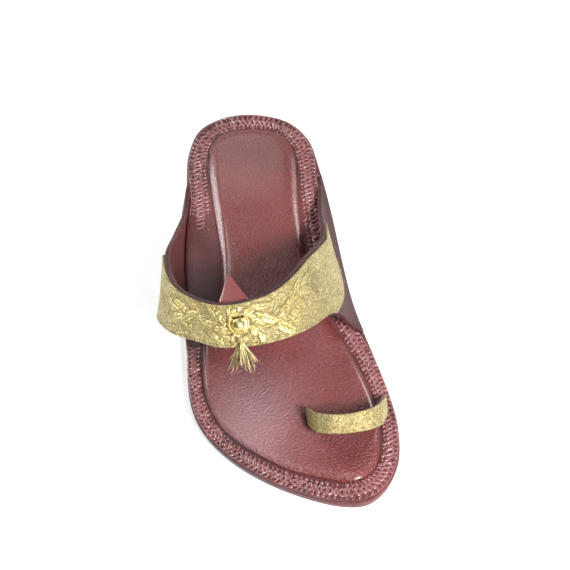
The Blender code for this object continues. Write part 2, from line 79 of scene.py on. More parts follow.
# %% Floor and lights
LIGHTS = (
    ("key", (0.32, -0.62, 0.58), (0.0, 0.0, 0.0), (0.20, 0.20), 14.8),
    ("overhead", (-0.1, -0.1, 1.0), (0.0, 0.0, 0.0), (0.6, 0.6), 1.2),
    ("lateral_panel", (-0.48, 0.45, 0.33), (0.0, 0.03, 0.0), (0.26, 0.22), 3.5),
    ("medial_panel", (0.54, 0.38, 0.30), (0.0, -0.03, 0.0), (0.18, 0.14), 1.4),
    ("haze_panel", (-0.15, 0.27, 0.46), (-0.04, -0.05, 0.0), (0.12, 0.10), 0.35),
    ("heel_haze", (-0.02, 0.52, 0.46), (0.0, 0.09, 0.0), (0.2, 0.1), 0.22),
)
WORLD_STRENGTH = 0.10
FLOOR_REACH = 3

for name, place, aim, size, watts in LIGHTS:
    data = bpy.data.lights.new(name, "AREA")
    data.shape = "RECTANGLE"
    data.size, data.size_y = size
    data.energy = watts
    lamp = bpy.data.objects.new(name, data)
    lamp.location = place
    lamp.rotation_euler = (Vector(aim) - Vector(place)).to_track_quat("-Z", "Y").to_euler()
    bpy.context.collection.objects.link(lamp)

world = bpy.data.worlds.new("studio")
world.use_nodes = True
background = world.node_tree.nodes["Background"].inputs
background["Color"].default_value = (1, 1, 1, 1)
background["Strength"].default_value = WORLD_STRENGTH
bpy.context.scene.world = world
bpy.context.scene.view_settings.view_transform = "Standard"

floor_mesh = bpy.data.meshes.new("floor")
floor_corners = [(x * FLOOR_REACH, y * FLOOR_REACH, 0) for x, y in ((-1, -1), (1, -1), (1, 1), (-1, 1))]
floor_mesh.from_pydata(floor_corners, [], [(0, 1, 2, 3)])
floor = bpy.data.objects.new("floor", floor_mesh)
bpy.context.collection.objects.link(floor)
print("lights", [name for name, *_ in LIGHTS])

# %% [markdown]
# ## A short way to write node trees
#
# Materials and Geometry Nodes are both trees of nodes. One helper makes a node, sets its options,
# and either links or fills its inputs, so a tree reads from top to bottom like a recipe.

# %% Node helpers
def node(tree, kind, inputs=None, **settings):
    made = tree.nodes.new(kind)
    for name, value in settings.items():
        setattr(made, name, value)
    for name, value in (inputs or {}).items():
        if isinstance(value, bpy.types.NodeSocket):
            tree.links.new(value, made.inputs[name])
        else:
            made.inputs[name].default_value = value
    return made


def calculate(tree, operation, first, second=0.0):
    return node(tree, "ShaderNodeMath", {0: first, 1: second}, operation=operation).outputs[0]


def remap(tree, value, low, high, out_low, out_high):
    limits = {"Value": value, "From Min": low, "From Max": high, "To Min": out_low, "To Max": out_high}
    return node(tree, "ShaderNodeMapRange", limits).outputs["Result"]


def colour_mix(tree, factor, first, second):
    mixed = node(tree, "ShaderNodeMix", {0: factor}, data_type="RGBA")
    for index, colour in ((6, first), (7, second)):
        if isinstance(colour, bpy.types.NodeSocket):
            tree.links.new(colour, mixed.inputs[index])
        else:
            mixed.inputs[index].default_value = (*colour, 1)
    return mixed.outputs[2]


def new_finish(name, **sockets):
    """A material with its Principled shader's plain values set. Socket names use _ for a space."""
    material = bpy.data.materials.new(name)
    material.use_nodes = True
    tree = material.node_tree
    shader = tree.nodes["Principled BSDF"]
    for socket, value in sockets.items():
        shader.inputs[socket.replace("_", " ")].default_value = value
    place = node(tree, "ShaderNodeTexCoord").outputs["Object"]
    return material, tree, shader, place


def noise(tree, place, scale, detail=2.0):
    made = node(tree, "ShaderNodeTexNoise", {"Vector": place, "Scale": scale, "Detail": detail})
    return made.outputs["Fac"]


def cells(tree, place, scale, feature="F1"):
    return node(tree, "ShaderNodeTexVoronoi", {"Vector": place, "Scale": scale}, feature=feature)


def attribute(tree, name):
    return node(tree, "ShaderNodeAttribute", attribute_name=name).outputs["Fac"]


def dress(tree, shader, colour, roughness, height=None, depth=0.0):
    """Link a finish's colour and roughness, and its bump, which is depth metres deep."""
    tree.links.new(colour, shader.inputs["Base Color"])
    if roughness:
        tree.links.new(roughness, shader.inputs["Roughness"])
    if height:
        relief = node(tree, "ShaderNodeBump", {"Height": height, "Distance": depth, "Strength": 1.0})
        tree.links.new(relief.outputs["Normal"], shader.inputs["Normal"])


# %% [markdown]
# ## Leather
#
# The footbed and strap are a glossy synthetic leather. Its pebbles are round cells about a millimetre
# across with darker creases between them, so a Voronoi texture fits. A broad noise varies the colour
# as dye and handling do, and a thin clear coat gives the shine. A mesh can carry an attribute that
# paints light on it: towards 1 a painted sheen, a pale colour that stands in for a reflection, and
# towards -1 a painted shadow, the darkest dye.

# %% Pebbled and smooth leather
def leather(name, dark, mid, light, roughness, pebble, depth, coat, painted_sheen=None):
    """Pebbled leather: three dye colours, the size of a pebble and its depth in metres, and the coat."""
    material, tree, shader, place = new_finish(
        name, Coat_Weight=coat, Coat_Roughness=0.20, Specular_IOR_Level=0.45, Sheen_Weight=0.03
    )
    grain = cells(tree, place, 1 / pebble, "SMOOTH_F1").outputs["Distance"]
    fine = noise(tree, place, 3.2 / pebble, 3.0)
    broad = noise(tree, place, 22.0, 3.0)
    dye = colour_mix(tree, remap(tree, broad, 0.35, 0.68, 0.0, 1.0), dark, mid)
    worn = colour_mix(tree, remap(tree, fine, 0.55, 0.8, 0.0, 0.55), dye, light)
    creased = colour_mix(tree, remap(tree, grain, 0.35, 0.8, 0.0, 0.5), worn, dark)
    # Painted light from the attribute: below 0 it mixes the leather towards its darkest dye as a painted
    # shadow, and above 0 it mixes in the last colour, in patches, as a painted sheen.
    if painted_sheen:
        painted_light = attribute(tree, "painted_light")
        patchy = calculate(tree, "MULTIPLY", painted_light, remap(tree, fine, 0.3, 0.7, 0.5, 1.3))
        creased = colour_mix(tree, remap(tree, painted_light, -1.0, 0.0, 0.75, 0.0), creased, dark)
        creased = colour_mix(tree, remap(tree, patchy, 0.0, 1.0, 0.0, 0.45), creased, painted_sheen)
    uneven = remap(tree, fine, 0.3, 0.75, roughness - 0.08, roughness + 0.12)
    height = calculate(tree, "SUBTRACT", calculate(tree, "MULTIPLY", fine, 0.35), grain)
    dress(tree, shader, creased, uneven, height, depth)
    return material


MAROON = ((0.105, 0.017, 0.016), (0.190, 0.038, 0.035), (0.29, 0.085, 0.083))
OXBLOOD = ((0.030, 0.005, 0.006), (0.064, 0.011, 0.012), (0.12, 0.032, 0.034))
# The pad's pale pink last colour is the painted sheen on the ball and heel.
pad_leather = leather("pad_leather", *MAROON, 0.31, 0.0010, 0.00080, 0.5, (0.52, 0.33, 0.36))
strap_leather = leather("strap_leather", *OXBLOOD, 0.56, 0.0009, 0.00050, 0.05)
tongue_finish = leather(
    "tongue_finish", (0.17, 0.040, 0.038), (0.25, 0.070, 0.066), (0.33, 0.11, 0.11),
    0.34, 0.0008, 0.00012, 0.3,
)
rim_leather = leather(
    "rim_leather", (0.026, 0.005, 0.006), (0.165, 0.037, 0.038), (0.27, 0.085, 0.085),
    0.42, 0.0007, 0.00040, 0.12, (0.24, 0.07, 0.07),
)
lining_finish = leather(
    "lining_finish", (0.075, 0.014, 0.014), (0.140, 0.029, 0.028), (0.21, 0.060, 0.060),
    0.40, 0.0011, 0.00024, 0.30,
)
board_leather = leather(
    "board_leather", (0.080, 0.015, 0.014), (0.150, 0.032, 0.030), (0.22, 0.065, 0.064),
    0.40, 0.0008, 0.00012, 0.30,
)
print("leathers", [item.name for item in bpy.data.materials if "leather" in item.name])

# %% [markdown]
# ## Embossing colour, with a painted sheen
#
# The raised strands and beads of the embossing are paler than the leather between them: that pale colour is
# a painted sheen on the raised parts. The Pointiness of the mesh isn't exported, so the ornament has its own
# lighter finish.

# %% Ornament, rubber and floor finishes
# Lighter than the rim's leather: its pale colours are a painted sheen on the raised strands and beads.
ornament_leather = leather(
    "ornament_leather", (0.150, 0.038, 0.040), (0.290, 0.108, 0.112), (0.62, 0.42, 0.46),
    0.30, 0.0006, 0.00022, 1.0,
)

sole_finish, rubber_tree, rubber_shader, rubber_place = new_finish("sole_finish", Specular_IOR_Level=0.35)
speckle = noise(rubber_tree, rubber_place, 900.0, 4.0)
rubber_broad = noise(rubber_tree, rubber_place, 35.0)
rubber_base = colour_mix(rubber_tree, rubber_broad, (0.13, 0.055, 0.042), (0.19, 0.085, 0.065))
rubber_spots = remap(rubber_tree, speckle, 0.55, 0.75, 0.0, 0.5)
dress(
    rubber_tree, rubber_shader, colour_mix(rubber_tree, rubber_spots, rubber_base, (0.28, 0.15, 0.12)),
    remap(rubber_tree, speckle, 0.3, 0.7, 0.62, 0.82), speckle, 0.00008,
)

floor_finish, floor_tree, floor_shader, floor_place = new_finish(
    "floor_finish", Roughness=0.9, Specular_IOR_Level=0.1, Emission_Color=(1, 1, 1, 1), Emission_Strength=0.58
)
floor_cloud = noise(floor_tree, floor_place, 3.0)
floor_tint = colour_mix(floor_tree, floor_cloud, (0.56, 0.56, 0.56), (0.60, 0.60, 0.60))
dress(floor_tree, floor_shader, floor_tint, None)
floor_mesh.materials.append(floor_finish)

# %% [markdown]
# ## Gold
#
# The strap's cover is brocade: metal-wrapped threads that glitter grain by grain on a matt ground, with
# shiny raised leaves. Small cells with random tints make the glitter. The cover's mesh carries an
# attribute named motif, 1 on a leaf and 0 on the ground, and the finish reads it. The finish also paints
# shade into the colour: darker in the hollows of the folds, and a dark band round the foot of each leaf.
# The medallion is polished gilt, and dark pieces on it paint the shade of its pits. The tassel's threads
# are softer, and each has a tone of its own, an attribute again.

# %% Brocade, gilt, pits and thread
def brocade(name, grain):
    material, tree, shader, place = new_finish(name, Metallic=0.62, Specular_IOR_Level=0.6)
    glitter = cells(tree, place, 1 / grain)
    tint = node(tree, "ShaderNodeSeparateColor", {"Color": glitter.outputs["Color"]})
    motif = attribute(tree, "motif")
    broad = noise(tree, place, 60.0, 3.0)
    ground = colour_mix(tree, tint.outputs["Red"], (0.20, 0.152, 0.048), (0.65, 0.55, 0.265))
    folds = node(tree, "ShaderNodeTexNoise", {
        "Vector": place, "Scale": 260.0, "Detail": 2.0, "Distortion": 1.8,
    }).outputs["Fac"]
    toned_and_fold_shaded = colour_mix(tree, remap(tree, broad, 0.35, 0.7, 0.0, 0.5), ground, (0.34, 0.26, 0.085))
    # Painted shade: darker where the fold noise is low, in the hollows that its bump makes.
    toned_and_fold_shaded = colour_mix(tree, remap(tree, folds, 0.36, 0.52, 0.45, 0.0), toned_and_fold_shaded, (0.20, 0.145, 0.04))
    sparkle = remap(tree, tint.outputs["Green"], 0.88, 1.0, 0.0, 0.8)
    lit = colour_mix(tree, sparkle, toned_and_fold_shaded, (0.93, 0.86, 0.58))
    leaf = colour_mix(tree, remap(tree, motif, 0.35, 0.9, 0.0, 0.72), lit, (0.54, 0.44, 0.17))
    rising = remap(tree, motif, 0.02, 0.3, 0.0, 0.7)
    # Painted shade: a dark band on the low flanks of each leaf, round its foot.
    leaf_foot_shade = calculate(tree, "MULTIPLY", rising, remap(tree, motif, 0.3, 0.75, 1.0, 0.0))
    rough = remap(tree, tint.outputs["Blue"], 0.0, 1.0, 0.34, 0.66)
    rough = calculate(tree, "SUBTRACT", rough, calculate(tree, "MULTIPLY", motif, 0.20))
    flat = calculate(tree, "SUBTRACT", 1.0, calculate(tree, "MULTIPLY", motif, 0.75))
    thread = node(tree, "ShaderNodeTexWave", {
        "Vector": place, "Scale": 900.0, "Distortion": 2.5, "Detail": 1.0,
    }).outputs["Fac"]
    weave = calculate(tree, "ADD", tint.outputs["Red"], calculate(tree, "MULTIPLY", thread, 0.4))
    weave = calculate(tree, "MULTIPLY", weave, flat)
    height = calculate(tree, "ADD", weave, calculate(tree, "MULTIPLY", folds, 4.5))
    dress(tree, shader, colour_mix(tree, leaf_foot_shade, leaf, (0.13, 0.085, 0.022)), rough, height, 0.00017)
    return material


strap_brocade = brocade("strap_brocade", 0.00042)
ring_brocade = brocade("ring_brocade", 0.00040)

gilt, gilt_tree, gilt_shader, gilt_place = new_finish("gilt", Metallic=1.0)
gilt_tone = colour_mix(gilt_tree, noise(gilt_tree, gilt_place, 350.0), (0.60, 0.46, 0.15), (0.88, 0.74, 0.34))
gilt_wear = noise(gilt_tree, gilt_place, 1600.0, 4.0)
gilt_rough = remap(gilt_tree, gilt_wear, 0.3, 0.7, 0.24, 0.40)
dress(gilt_tree, gilt_shader, gilt_tone, gilt_rough, gilt_wear, 0.00002)

# Painted shade: a near-black finish for the flat pieces that stand for the dark of the pits and slits.
hole_shade_finish, pit_tree, pit_shader, pit_place = new_finish("hole_shade_finish", Metallic=0.5, Roughness=0.6)
pit_spots = noise(pit_tree, pit_place, 900.0)
pit_tone = colour_mix(pit_tree, pit_spots, (0.020, 0.011, 0.004), (0.085, 0.050, 0.014))
dress(pit_tree, pit_shader, pit_tone, None)

thread_finish, fibre_tree, fibre_shader, fibre_place = new_finish(
    "thread_finish", Metallic=0.6, Sheen_Weight=0.15
)
fibre = noise(fibre_tree, fibre_place, 1800.0, 2.0)
fibre_tone = remap(fibre_tree, fibre, 0.3, 0.7, -0.2, 0.2)
own_tone = calculate(fibre_tree, "ADD", attribute(fibre_tree, "tone"), fibre_tone)
dress(
    fibre_tree, fibre_shader, colour_mix(fibre_tree, own_tone, (0.085, 0.055, 0.008), (0.80, 0.68, 0.32)),
    remap(fibre_tree, fibre, 0.3, 0.7, 0.3, 0.5), fibre, 0.00005,
)
print("golds", [item.name for item in (strap_brocade, ring_brocade, gilt, hole_shade_finish, thread_finish)])

# %% [markdown]
# ## The sole's lines
#
# The sole is drawn once, as two closed lines seen from above: its edge, and the foot of the raised pad.
# Every layer and the ornament follow these lines, so they always agree. The CAD source draws the same
# lines with fewer facets. Here they are smoother, because a faceted edge shows in a picture.

# %% Sizes and outlines
LENGTH = 0.250
BALL_WIDTH = 0.097
SHIFT = Vector((0.0058, -0.0008, 0.0))
HEEL_HEIGHT = 0.008
TOE_SPRING = 0.0035
SHANK_START, BALL_START, TOE_START, TOE_CURVE = 0.24, 0.64, 0.79, 1.4
DECK = 0.0055
BORDER_BASE = 0.0042
PAD_BASE = 0.0058
PAD = 0.0032
PAD_SLOPE = 0.0042
WALL = 0.0024
TREAD = 0.0005
EAR_ROOM = 0.0005
EDGE_SIDES = 320

OUTLINE = (
    (0.000, 0.000), (0.013, 0.131), (0.042, 0.251), (0.100, 0.336), (0.184, 0.361), (0.300, 0.376),
    (0.420, 0.384), (0.520, 0.397), (0.600, 0.427), (0.680, 0.462), (0.760, 0.490), (0.832, 0.495),
    (0.909, 0.462), (0.964, 0.382), (0.993, 0.268), (0.987, 0.142), (0.963, 0.010), (0.933, -0.112),
    (0.902, -0.213), (0.868, -0.304), (0.832, -0.380), (0.795, -0.441), (0.757, -0.484), (0.715, -0.505),
    (0.660, -0.506), (0.590, -0.490), (0.500, -0.480), (0.380, -0.460), (0.280, -0.420), (0.180, -0.365),
    (0.100, -0.333), (0.034, -0.257), (0.005, -0.134),
)
PAD_OUTLINE = (
    (0.049, 0.031), (0.062, 0.140), (0.086, 0.209), (0.128, 0.240), (0.182, 0.234), (0.260, 0.214),
    (0.340, 0.202), (0.412, 0.206), (0.492, 0.232), (0.570, 0.270), (0.624, 0.318), (0.700, 0.371),
    (0.772, 0.402), (0.834, 0.402), (0.903, 0.362), (0.932, 0.304), (0.943, 0.216), (0.929, 0.097),
    (0.899, -0.060), (0.867, -0.163), (0.823, -0.281), (0.770, -0.376), (0.704, -0.423), (0.636, -0.424),
    (0.568, -0.397), (0.504, -0.325), (0.444, -0.268), (0.364, -0.242), (0.228, -0.238), (0.133, -0.226),
    (0.073, -0.190), (0.049, -0.093),
)
LATERAL_EAR = (-1, 0.184, 0.524, 0.020)
MEDIAL_EAR = (1, 0.196, 0.596, 0.000)


def curve_point(before, start, end, after, share):
    """A point between start and end on the smooth curve through four points."""
    squared = share * share
    cubed = squared * share
    return (
        start * 2
        + (end - before) * share
        + (before * 2 - start * 5 + end * 4 - after) * squared
        + (start * 3 - before - end * 3 + after) * cubed
    ) / 2


def closed_plan(table, sides):
    knots = [Vector((BALL_WIDTH * across, LENGTH * (0.5 - along))) for along, across in table]
    fine = []
    for index in range(len(knots)):
        around = [knots[(index + step) % len(knots)] for step in (-1, 0, 1, 2)]
        fine += [curve_point(*around, part / 16) for part in range(16)]
    fine.append(fine[0])
    travelled = np.cumsum([0.0] + [(b - a).length for a, b in zip(fine, fine[1:])])
    targets = np.arange(sides) / sides * travelled[-1]
    across = np.interp(targets, travelled, [point.x for point in fine])
    along = np.interp(targets, travelled, [point.y for point in fine])
    return [Vector(pair) for pair in zip(across, along)]


def inset(plan, amount):
    moved = []
    for index, point in enumerate(plan):
        arriving = (point - plan[index - 1]).normalized()
        leaving = (plan[(index + 1) % len(plan)] - point).normalized()
        inwards = Vector((arriving.y + leaving.y, -arriving.x - leaving.x)).normalized()
        moved.append(point + inwards * amount / max(inwards.dot(Vector((leaving.y, -leaving.x))), 0.5))
    return moved


def held(value):
    """The value, held between 0 and 1."""
    return min(max(value, 0), 1)


def lift(y):
    """Height of the sole's underside over the floor at y, in its middle: heel, shank and toe spring."""
    along = 0.5 - y / LENGTH
    climb = held((BALL_START - along) / (BALL_START - SHANK_START))
    toe = max((along - TOE_START) / (1 - TOE_START), 0) ** TOE_CURVE
    return HEEL_HEIGHT * climb * climb * (3 - 2 * climb) + TOE_SPRING * toe


SOLE_PLAN = closed_plan(OUTLINE, EDGE_SIDES)
PAD_PLAN = closed_plan(PAD_OUTLINE, EDGE_SIDES)


def edge_across(y, side):
    found = []
    for index, point in enumerate(SOLE_PLAN):
        before = SOLE_PLAN[index - 1]
        if (point.y - y) * (before.y - y) <= 0 and point.y != before.y:
            found.append(before.lerp(point, (y - before.y) / (point.y - before.y)).x * side)
    return max(found) * side


def notched_plan():
    """The sole's edge, stepped in on each side where an ear of the strap stands against the layers."""
    plan = []
    for index, point in enumerate(SOLE_PLAN):
        before = SOLE_PLAN[index - 1]
        side, rear, front, _ = MEDIAL_EAR if point.x > 0 else LATERAL_EAR
        rear_end = LENGTH * (0.5 - rear) + EAR_ROOM
        front_end = LENGTH * (0.5 - front) - EAR_ROOM
        recess = Vector((side * (WALL + EAR_ROOM), 0))
        inside = front_end < point.y < rear_end
        for end in (rear_end, front_end):
            if (before.y - end) * (point.y - end) < 0:
                corner = before.lerp(point, (end - before.y) / (point.y - before.y))
                plan += [corner, corner - recess] if inside else [corner - recess, corner]
        if min(abs(point.y - rear_end), abs(point.y - front_end)) > 0.0018:
            plan.append(point - recess if inside else point)
    return plan


print("sole edge", round(sum((b - a).length for a, b in zip(SOLE_PLAN, SOLE_PLAN[1:])) * 1000), "mm round")

# %% [markdown]
# ## Layers of the sole
#
# A slab is a stack of rings: the plan moved in and up along a small arc makes its rounded edge. It is
# made flat, cut into stations along its length, and then lifted to the sole's profile, in that order,
# because a long flat face can't bend where it has no vertices.

# %% Layers
def new_piece(mesh, finishes):
    """A piece named as its mesh, with its finishes."""
    obj = bpy.data.objects.new(mesh.name, mesh)
    for finish in finishes:
        mesh.materials.append(finish)
    bpy.context.collection.objects.link(obj)
    return obj


def finished_mesh(bm, name, angle=None):
    """What bmesh built as a smooth mesh. Edges that turn by more than angle degrees stay sharp."""
    mesh = bpy.data.meshes.new(name)
    bm.to_mesh(mesh)
    bm.free()
    mesh.shade_smooth()
    if angle:
        mesh.set_sharp_from_angle(angle=math.radians(angle))
    return mesh


def join_loops(bm, loops):
    """Faces between each closed loop of points and the next one."""
    for loop, following in zip(loops, loops[1:]):
        for index in range(len(loop)):
            after = (index + 1) % len(loop)
            bm.faces.new((loop[index], following[index], following[after], loop[after]))


def arc_rings(plan, low, high, radius, steps=4):
    """Rings of a slab whose upper and lower edges are rounded to radius."""
    rings = []
    for step in range(steps + 1):
        angle = math.pi / 2 * step / steps
        rings.append((inset(plan, radius * (1 - math.sin(angle))), low + radius * (1 - math.cos(angle))))
    for step in range(steps + 1):
        angle = math.pi / 2 * step / steps
        rings.append((inset(plan, radius * (1 - math.cos(angle))), high - radius * (1 - math.sin(angle))))
    return rings


def slab(name, rings, stations=60):
    bm = bmesh.new()
    loops = [[bm.verts.new((*point, height)) for point in plan] for plan, height in rings]
    join_loops(bm, loops)
    bm.faces.new(loops[0])
    bm.faces.new(loops[-1][::-1])
    for station in range(1, stations):
        everything = bm.verts[:] + bm.edges[:] + bm.faces[:]
        place = (0, LENGTH * (0.5 - station / stations), 0)
        bmesh.ops.bisect_plane(bm, geom=everything, plane_co=place, plane_no=(0, 1, 0), dist=2e-6)
    for vert in bm.verts:
        vert.co.z += lift(vert.co.y)
        vert.co += SHIFT
    return finished_mesh(bm, name, 40)


SOLE_INSET, SOLE_TOP, SOLE_SOFT = 0.0008, 0.0018, 0.0005
BOARD_INSET, BOARD_BASE, BOARD_TOP = 0.0004, 0.0021, 0.0039
LAYER_SOFT = 0.0006
notched = notched_plan()
outsole = new_piece(
    slab("outsole_sheet", arc_rings(inset(SOLE_PLAN, SOLE_INSET), TREAD, SOLE_TOP, SOLE_SOFT)),
    [sole_finish],
)
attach(outsole, "root")
midsole = new_piece(
    slab("midsole_board", arc_rings(inset(notched, BOARD_INSET), BOARD_BASE, BOARD_TOP, LAYER_SOFT)),
    [board_leather],
)
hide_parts("midsole")
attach(midsole, "root")
rim = new_piece(
    slab("rim_leather_sheet", arc_rings(notched, BORDER_BASE, DECK, LAYER_SOFT)),
    [rim_leather],
)
print("layers", [(piece.name, len(piece.data.vertices)) for piece in (outsole, midsole, rim)])

# %% [markdown]
# ## Footbed pad
#
# The pad is foam under stretched leather: its edge rises steeply, rolls over, and runs into a top that
# is crowned a little under the arch and dished where the heel and the ball of the foot press. Rings from
# its foot to its middle line give an even mesh that can carry that shape.

# %% Pad
PAD_SHOULDER = (
    (0.0, 0.0), (0.0, 0.10), (0.01, 0.20), (0.04, 0.29), (0.10, 0.37), (0.25, 0.515), (0.42, 0.655),
    (0.58, 0.765), (0.74, 0.855), (0.92, 0.92), (1.15, 0.96), (1.5, 0.985), (2.0, 1.0),
)
HEEL_SHOULDER = (
    (0.0, 0.0), (0.0, 0.05), (0.01, 0.10), (0.04, 0.15), (0.10, 0.20), (0.30, 0.37), (0.52, 0.545),
    (0.74, 0.71), (0.94, 0.835), (1.14, 0.925), (1.38, 0.97), (1.7, 0.99), (2.2, 1.0),
)
DISHES = ((0.000, 0.085, 0.028, 0.0005), (0.004, -0.055, 0.040, 0.0005))  # heel and ball: x, y, radius, depth
PAD_ROWS = 10


def pad_dish(x, y):
    """How deep the pad's top is dished at a place."""
    return sum(
        depth * math.exp(-((x - centre_x) ** 2 + (y - centre_y) ** 2) / radius ** 2)
        for centre_x, centre_y, radius, depth in DISHES
    )


def pad_painted_light(x, y):
    """1 for a painted sheen on the ball of the foot, a faint one on the heel, and -1 for the strap's painted
    shadow over the arch.
    """
    ball = math.exp(-((x + 0.019) ** 2 / 0.021 ** 2 + (y + 0.068) ** 2 / 0.031 ** 2))
    heel = 0.15 * math.exp(-((x + 0.004) ** 2 / 0.026 ** 2 + (y - 0.085) ** 2 / 0.030 ** 2))
    strap_shadow_on_arch = math.exp(-(((y - 0.018) / 0.034) ** 2))
    return ball + heel - strap_shadow_on_arch


def make_pad():
    """The cushion. Its shoulder is wide round the heel and steep on the lateral side of the forefoot."""
    shares = [math.exp(-(((point.y - 0.080) / 0.034) ** 2)) for point in PAD_PLAN]
    crisp = [held(-point.x / 0.02) * held((0.01 - point.y) / 0.03) for point in PAD_PLAN]
    rings = []
    for (inward, up), (heel_inward, heel_up) in zip(PAD_SHOULDER, HEEL_SHOULDER):
        soft, steep, wide = (inset(PAD_PLAN, PAD_SLOPE * far) for far in (inward, inward * 0.45, heel_inward))
        rings.append([
            (*a.lerp(b, lateral).lerp(c, share), PAD_BASE + PAD * (up + (heel_up - up) * share))
            for a, b, c, lateral, share in zip(soft, steep, wide, crisp, shares)
        ])
    edge = [Vector(place[:2]) for place in rings[-1]]
    low = min(point.y for point in edge) + 0.015
    high = max(point.y for point in edge) - 0.010
    spine = []
    for point in edge:
        y = min(max(point.y, low), high)
        sides = [other.x for other in edge if abs(other.y - y) < 0.004]
        spine.append(Vector(((min(sides) + max(sides)) / 2, y)))
    bm = bmesh.new()
    painted_light = bm.verts.layers.float.new("painted_light")
    loops = [[bm.verts.new(place) for place in ring] for ring in rings]
    for step in range(1, PAD_ROWS + 1):
        share = step / PAD_ROWS
        loops.append([bm.verts.new((*a.lerp(b, share), PAD_BASE + PAD)) for a, b in zip(edge, spine)])
    join_loops(bm, loops)
    bm.faces.new(loops[0])
    bmesh.ops.remove_doubles(bm, verts=bm.verts, dist=0.00003)
    bmesh.ops.triangulate(bm, faces=[face for face in bm.faces if len(face.verts) > 4])
    for vert in bm.verts:
        share = held((vert.co.z - PAD_BASE) / PAD)
        vert.co.z += lift(vert.co.y) - pad_dish(vert.co.x, vert.co.y) * share ** 3
        # Painted sheen on the ball and heel, and the strap's painted shadow over the arch.
        vert[painted_light] = pad_painted_light(vert.co.x, vert.co.y)
        vert.co += SHIFT
    return new_piece(finished_mesh(bm, "footbed_cushion"), [pad_leather])


pad = make_pad()
print("pad", len(pad.data.vertices), "points")

# %% [markdown]
# The border's leather behind the strap is painted darker, a painted shadow of the strap, strongest on
# the lateral side. The same attribute as on the pad carries it point by point.

# %% Painted strap shadow on the border
SHADOW_PLACE, SHADOW_REACH, MEDIAL_SHARE = 0.012, 0.030, 0.35
rim_painted_shade = rim.data.attributes.new("painted_light", "FLOAT", "POINT").data
for vert, item in zip(rim.data.vertices, rim_painted_shade):
    # Painted shadow of the strap: strongest beside it, full on the lateral side and weaker on the medial
    # side.
    beside_strap = math.exp(-(((vert.co.y - SHADOW_PLACE) / SHADOW_REACH) ** 2))
    item.value = -beside_strap * (1.0 if vert.co.x < 0 else MEDIAL_SHARE)
for slab_piece, cad_name in ((outsole, "outsole"), (rim, "insole_border"), (pad, "footbed_pad")):
    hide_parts(cad_name)
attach(rim, "root")
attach(pad, "root")

# %% [markdown]
# ## The surface of a strap
#
# A strap is ruled: each row of its table gives a point on its rear edge and one on its front edge. The
# rows join into smooth lines, so any place along the strap and any share of its width has a point and
# an outward direction. Numpy works out all of them at once, as arrays.

# %% Strap surfaces
INSTEP_RISE = 0.051
RING_RISE = 0.020
COLLAR = 0.0006  # how far the ears stand up straight above the deck
SAMPLES = 64
STRAP = (  # across, along and up of the rear edge, then of the front edge, as shares of the sole's sizes
    (-0.401, 0.260, 0.090, -0.572, 0.532, 0.198), (-0.470, 0.348, 0.303, -0.600, 0.546, 0.361),
    (-0.529, 0.432, 0.555, -0.593, 0.576, 0.450), (-0.514, 0.524, 0.767, -0.535, 0.630, 0.622),
    (-0.436, 0.581, 0.884, -0.435, 0.664, 0.698), (-0.320, 0.622, 0.981, -0.320, 0.693, 0.737),
    (-0.186, 0.629, 1.000, -0.186, 0.701, 0.747), (-0.041, 0.610, 0.967, -0.041, 0.695, 0.727),
    (0.074, 0.565, 0.871, 0.082, 0.674, 0.669), (0.181, 0.499, 0.697, 0.174, 0.640, 0.553),
    (0.259, 0.448, 0.512, 0.249, 0.603, 0.413), (0.307, 0.396, 0.327, 0.311, 0.585, 0.263),
    (0.322, 0.308, 0.139, 0.365, 0.589, 0.113),
)
RING = (
    (0.066, 0.766, 0.200, 0.064, 0.800, 0.190), (0.074, 0.784, 0.525, 0.069, 0.820, 0.350),
    (0.103, 0.811, 0.770, 0.098, 0.843, 0.490), (0.180, 0.832, 0.970, 0.165, 0.860, 0.650),
    (0.263, 0.836, 0.990, 0.258, 0.866, 0.690), (0.340, 0.826, 0.870, 0.340, 0.861, 0.620),
    (0.397, 0.808, 0.670, 0.400, 0.844, 0.450), (0.442, 0.780, 0.425, 0.433, 0.816, 0.260),
    (0.452, 0.758, 0.130, 0.447, 0.792, 0.110),
)


def table_point(row, share, rise):
    ends = []
    for across, along, up in (row[:3], row[3:]):
        y = LENGTH * (0.5 - along)
        ends.append(Vector((BALL_WIDTH * across, y, lift(y) + DECK + rise * up)))
    return ends[0].lerp(ends[1], share)


def ear_point(ear, share, height, leaning):
    side, rear, front, lean = ear
    y = LENGTH * (0.5 - rear - (front - rear) * share)
    return Vector((edge_across(y, side) + side * lean * BALL_WIDTH * share * leaning, y, lift(y) + height))


def strap_line(share):
    """The strap's line from foot to foot at a share of its width: ear, table of rows, ear."""
    foot, collar = BOARD_BASE, DECK + COLLAR
    line = [ear_point(LATERAL_EAR, share, foot, 0), ear_point(LATERAL_EAR, share, collar, 1)]
    line += [table_point(row, share, INSTEP_RISE) for row in STRAP]
    return line + [ear_point(MEDIAL_EAR, share, collar, 1), ear_point(MEDIAL_EAR, share, foot, 0)]


def ring_line(share):
    line = [table_point(row, share, RING_RISE) for row in RING]
    feet = [Vector((end.x, end.y, lift(end.y) + BORDER_BASE)) for end in (line[0], line[-1])]
    return [feet[0], *line, feet[1]]


STRAP_LINES = np.array([strap_line(step / SAMPLES) for step in range(SAMPLES + 1)])
RING_LINES = np.array([ring_line(step / SAMPLES) for step in range(SAMPLES + 1)])


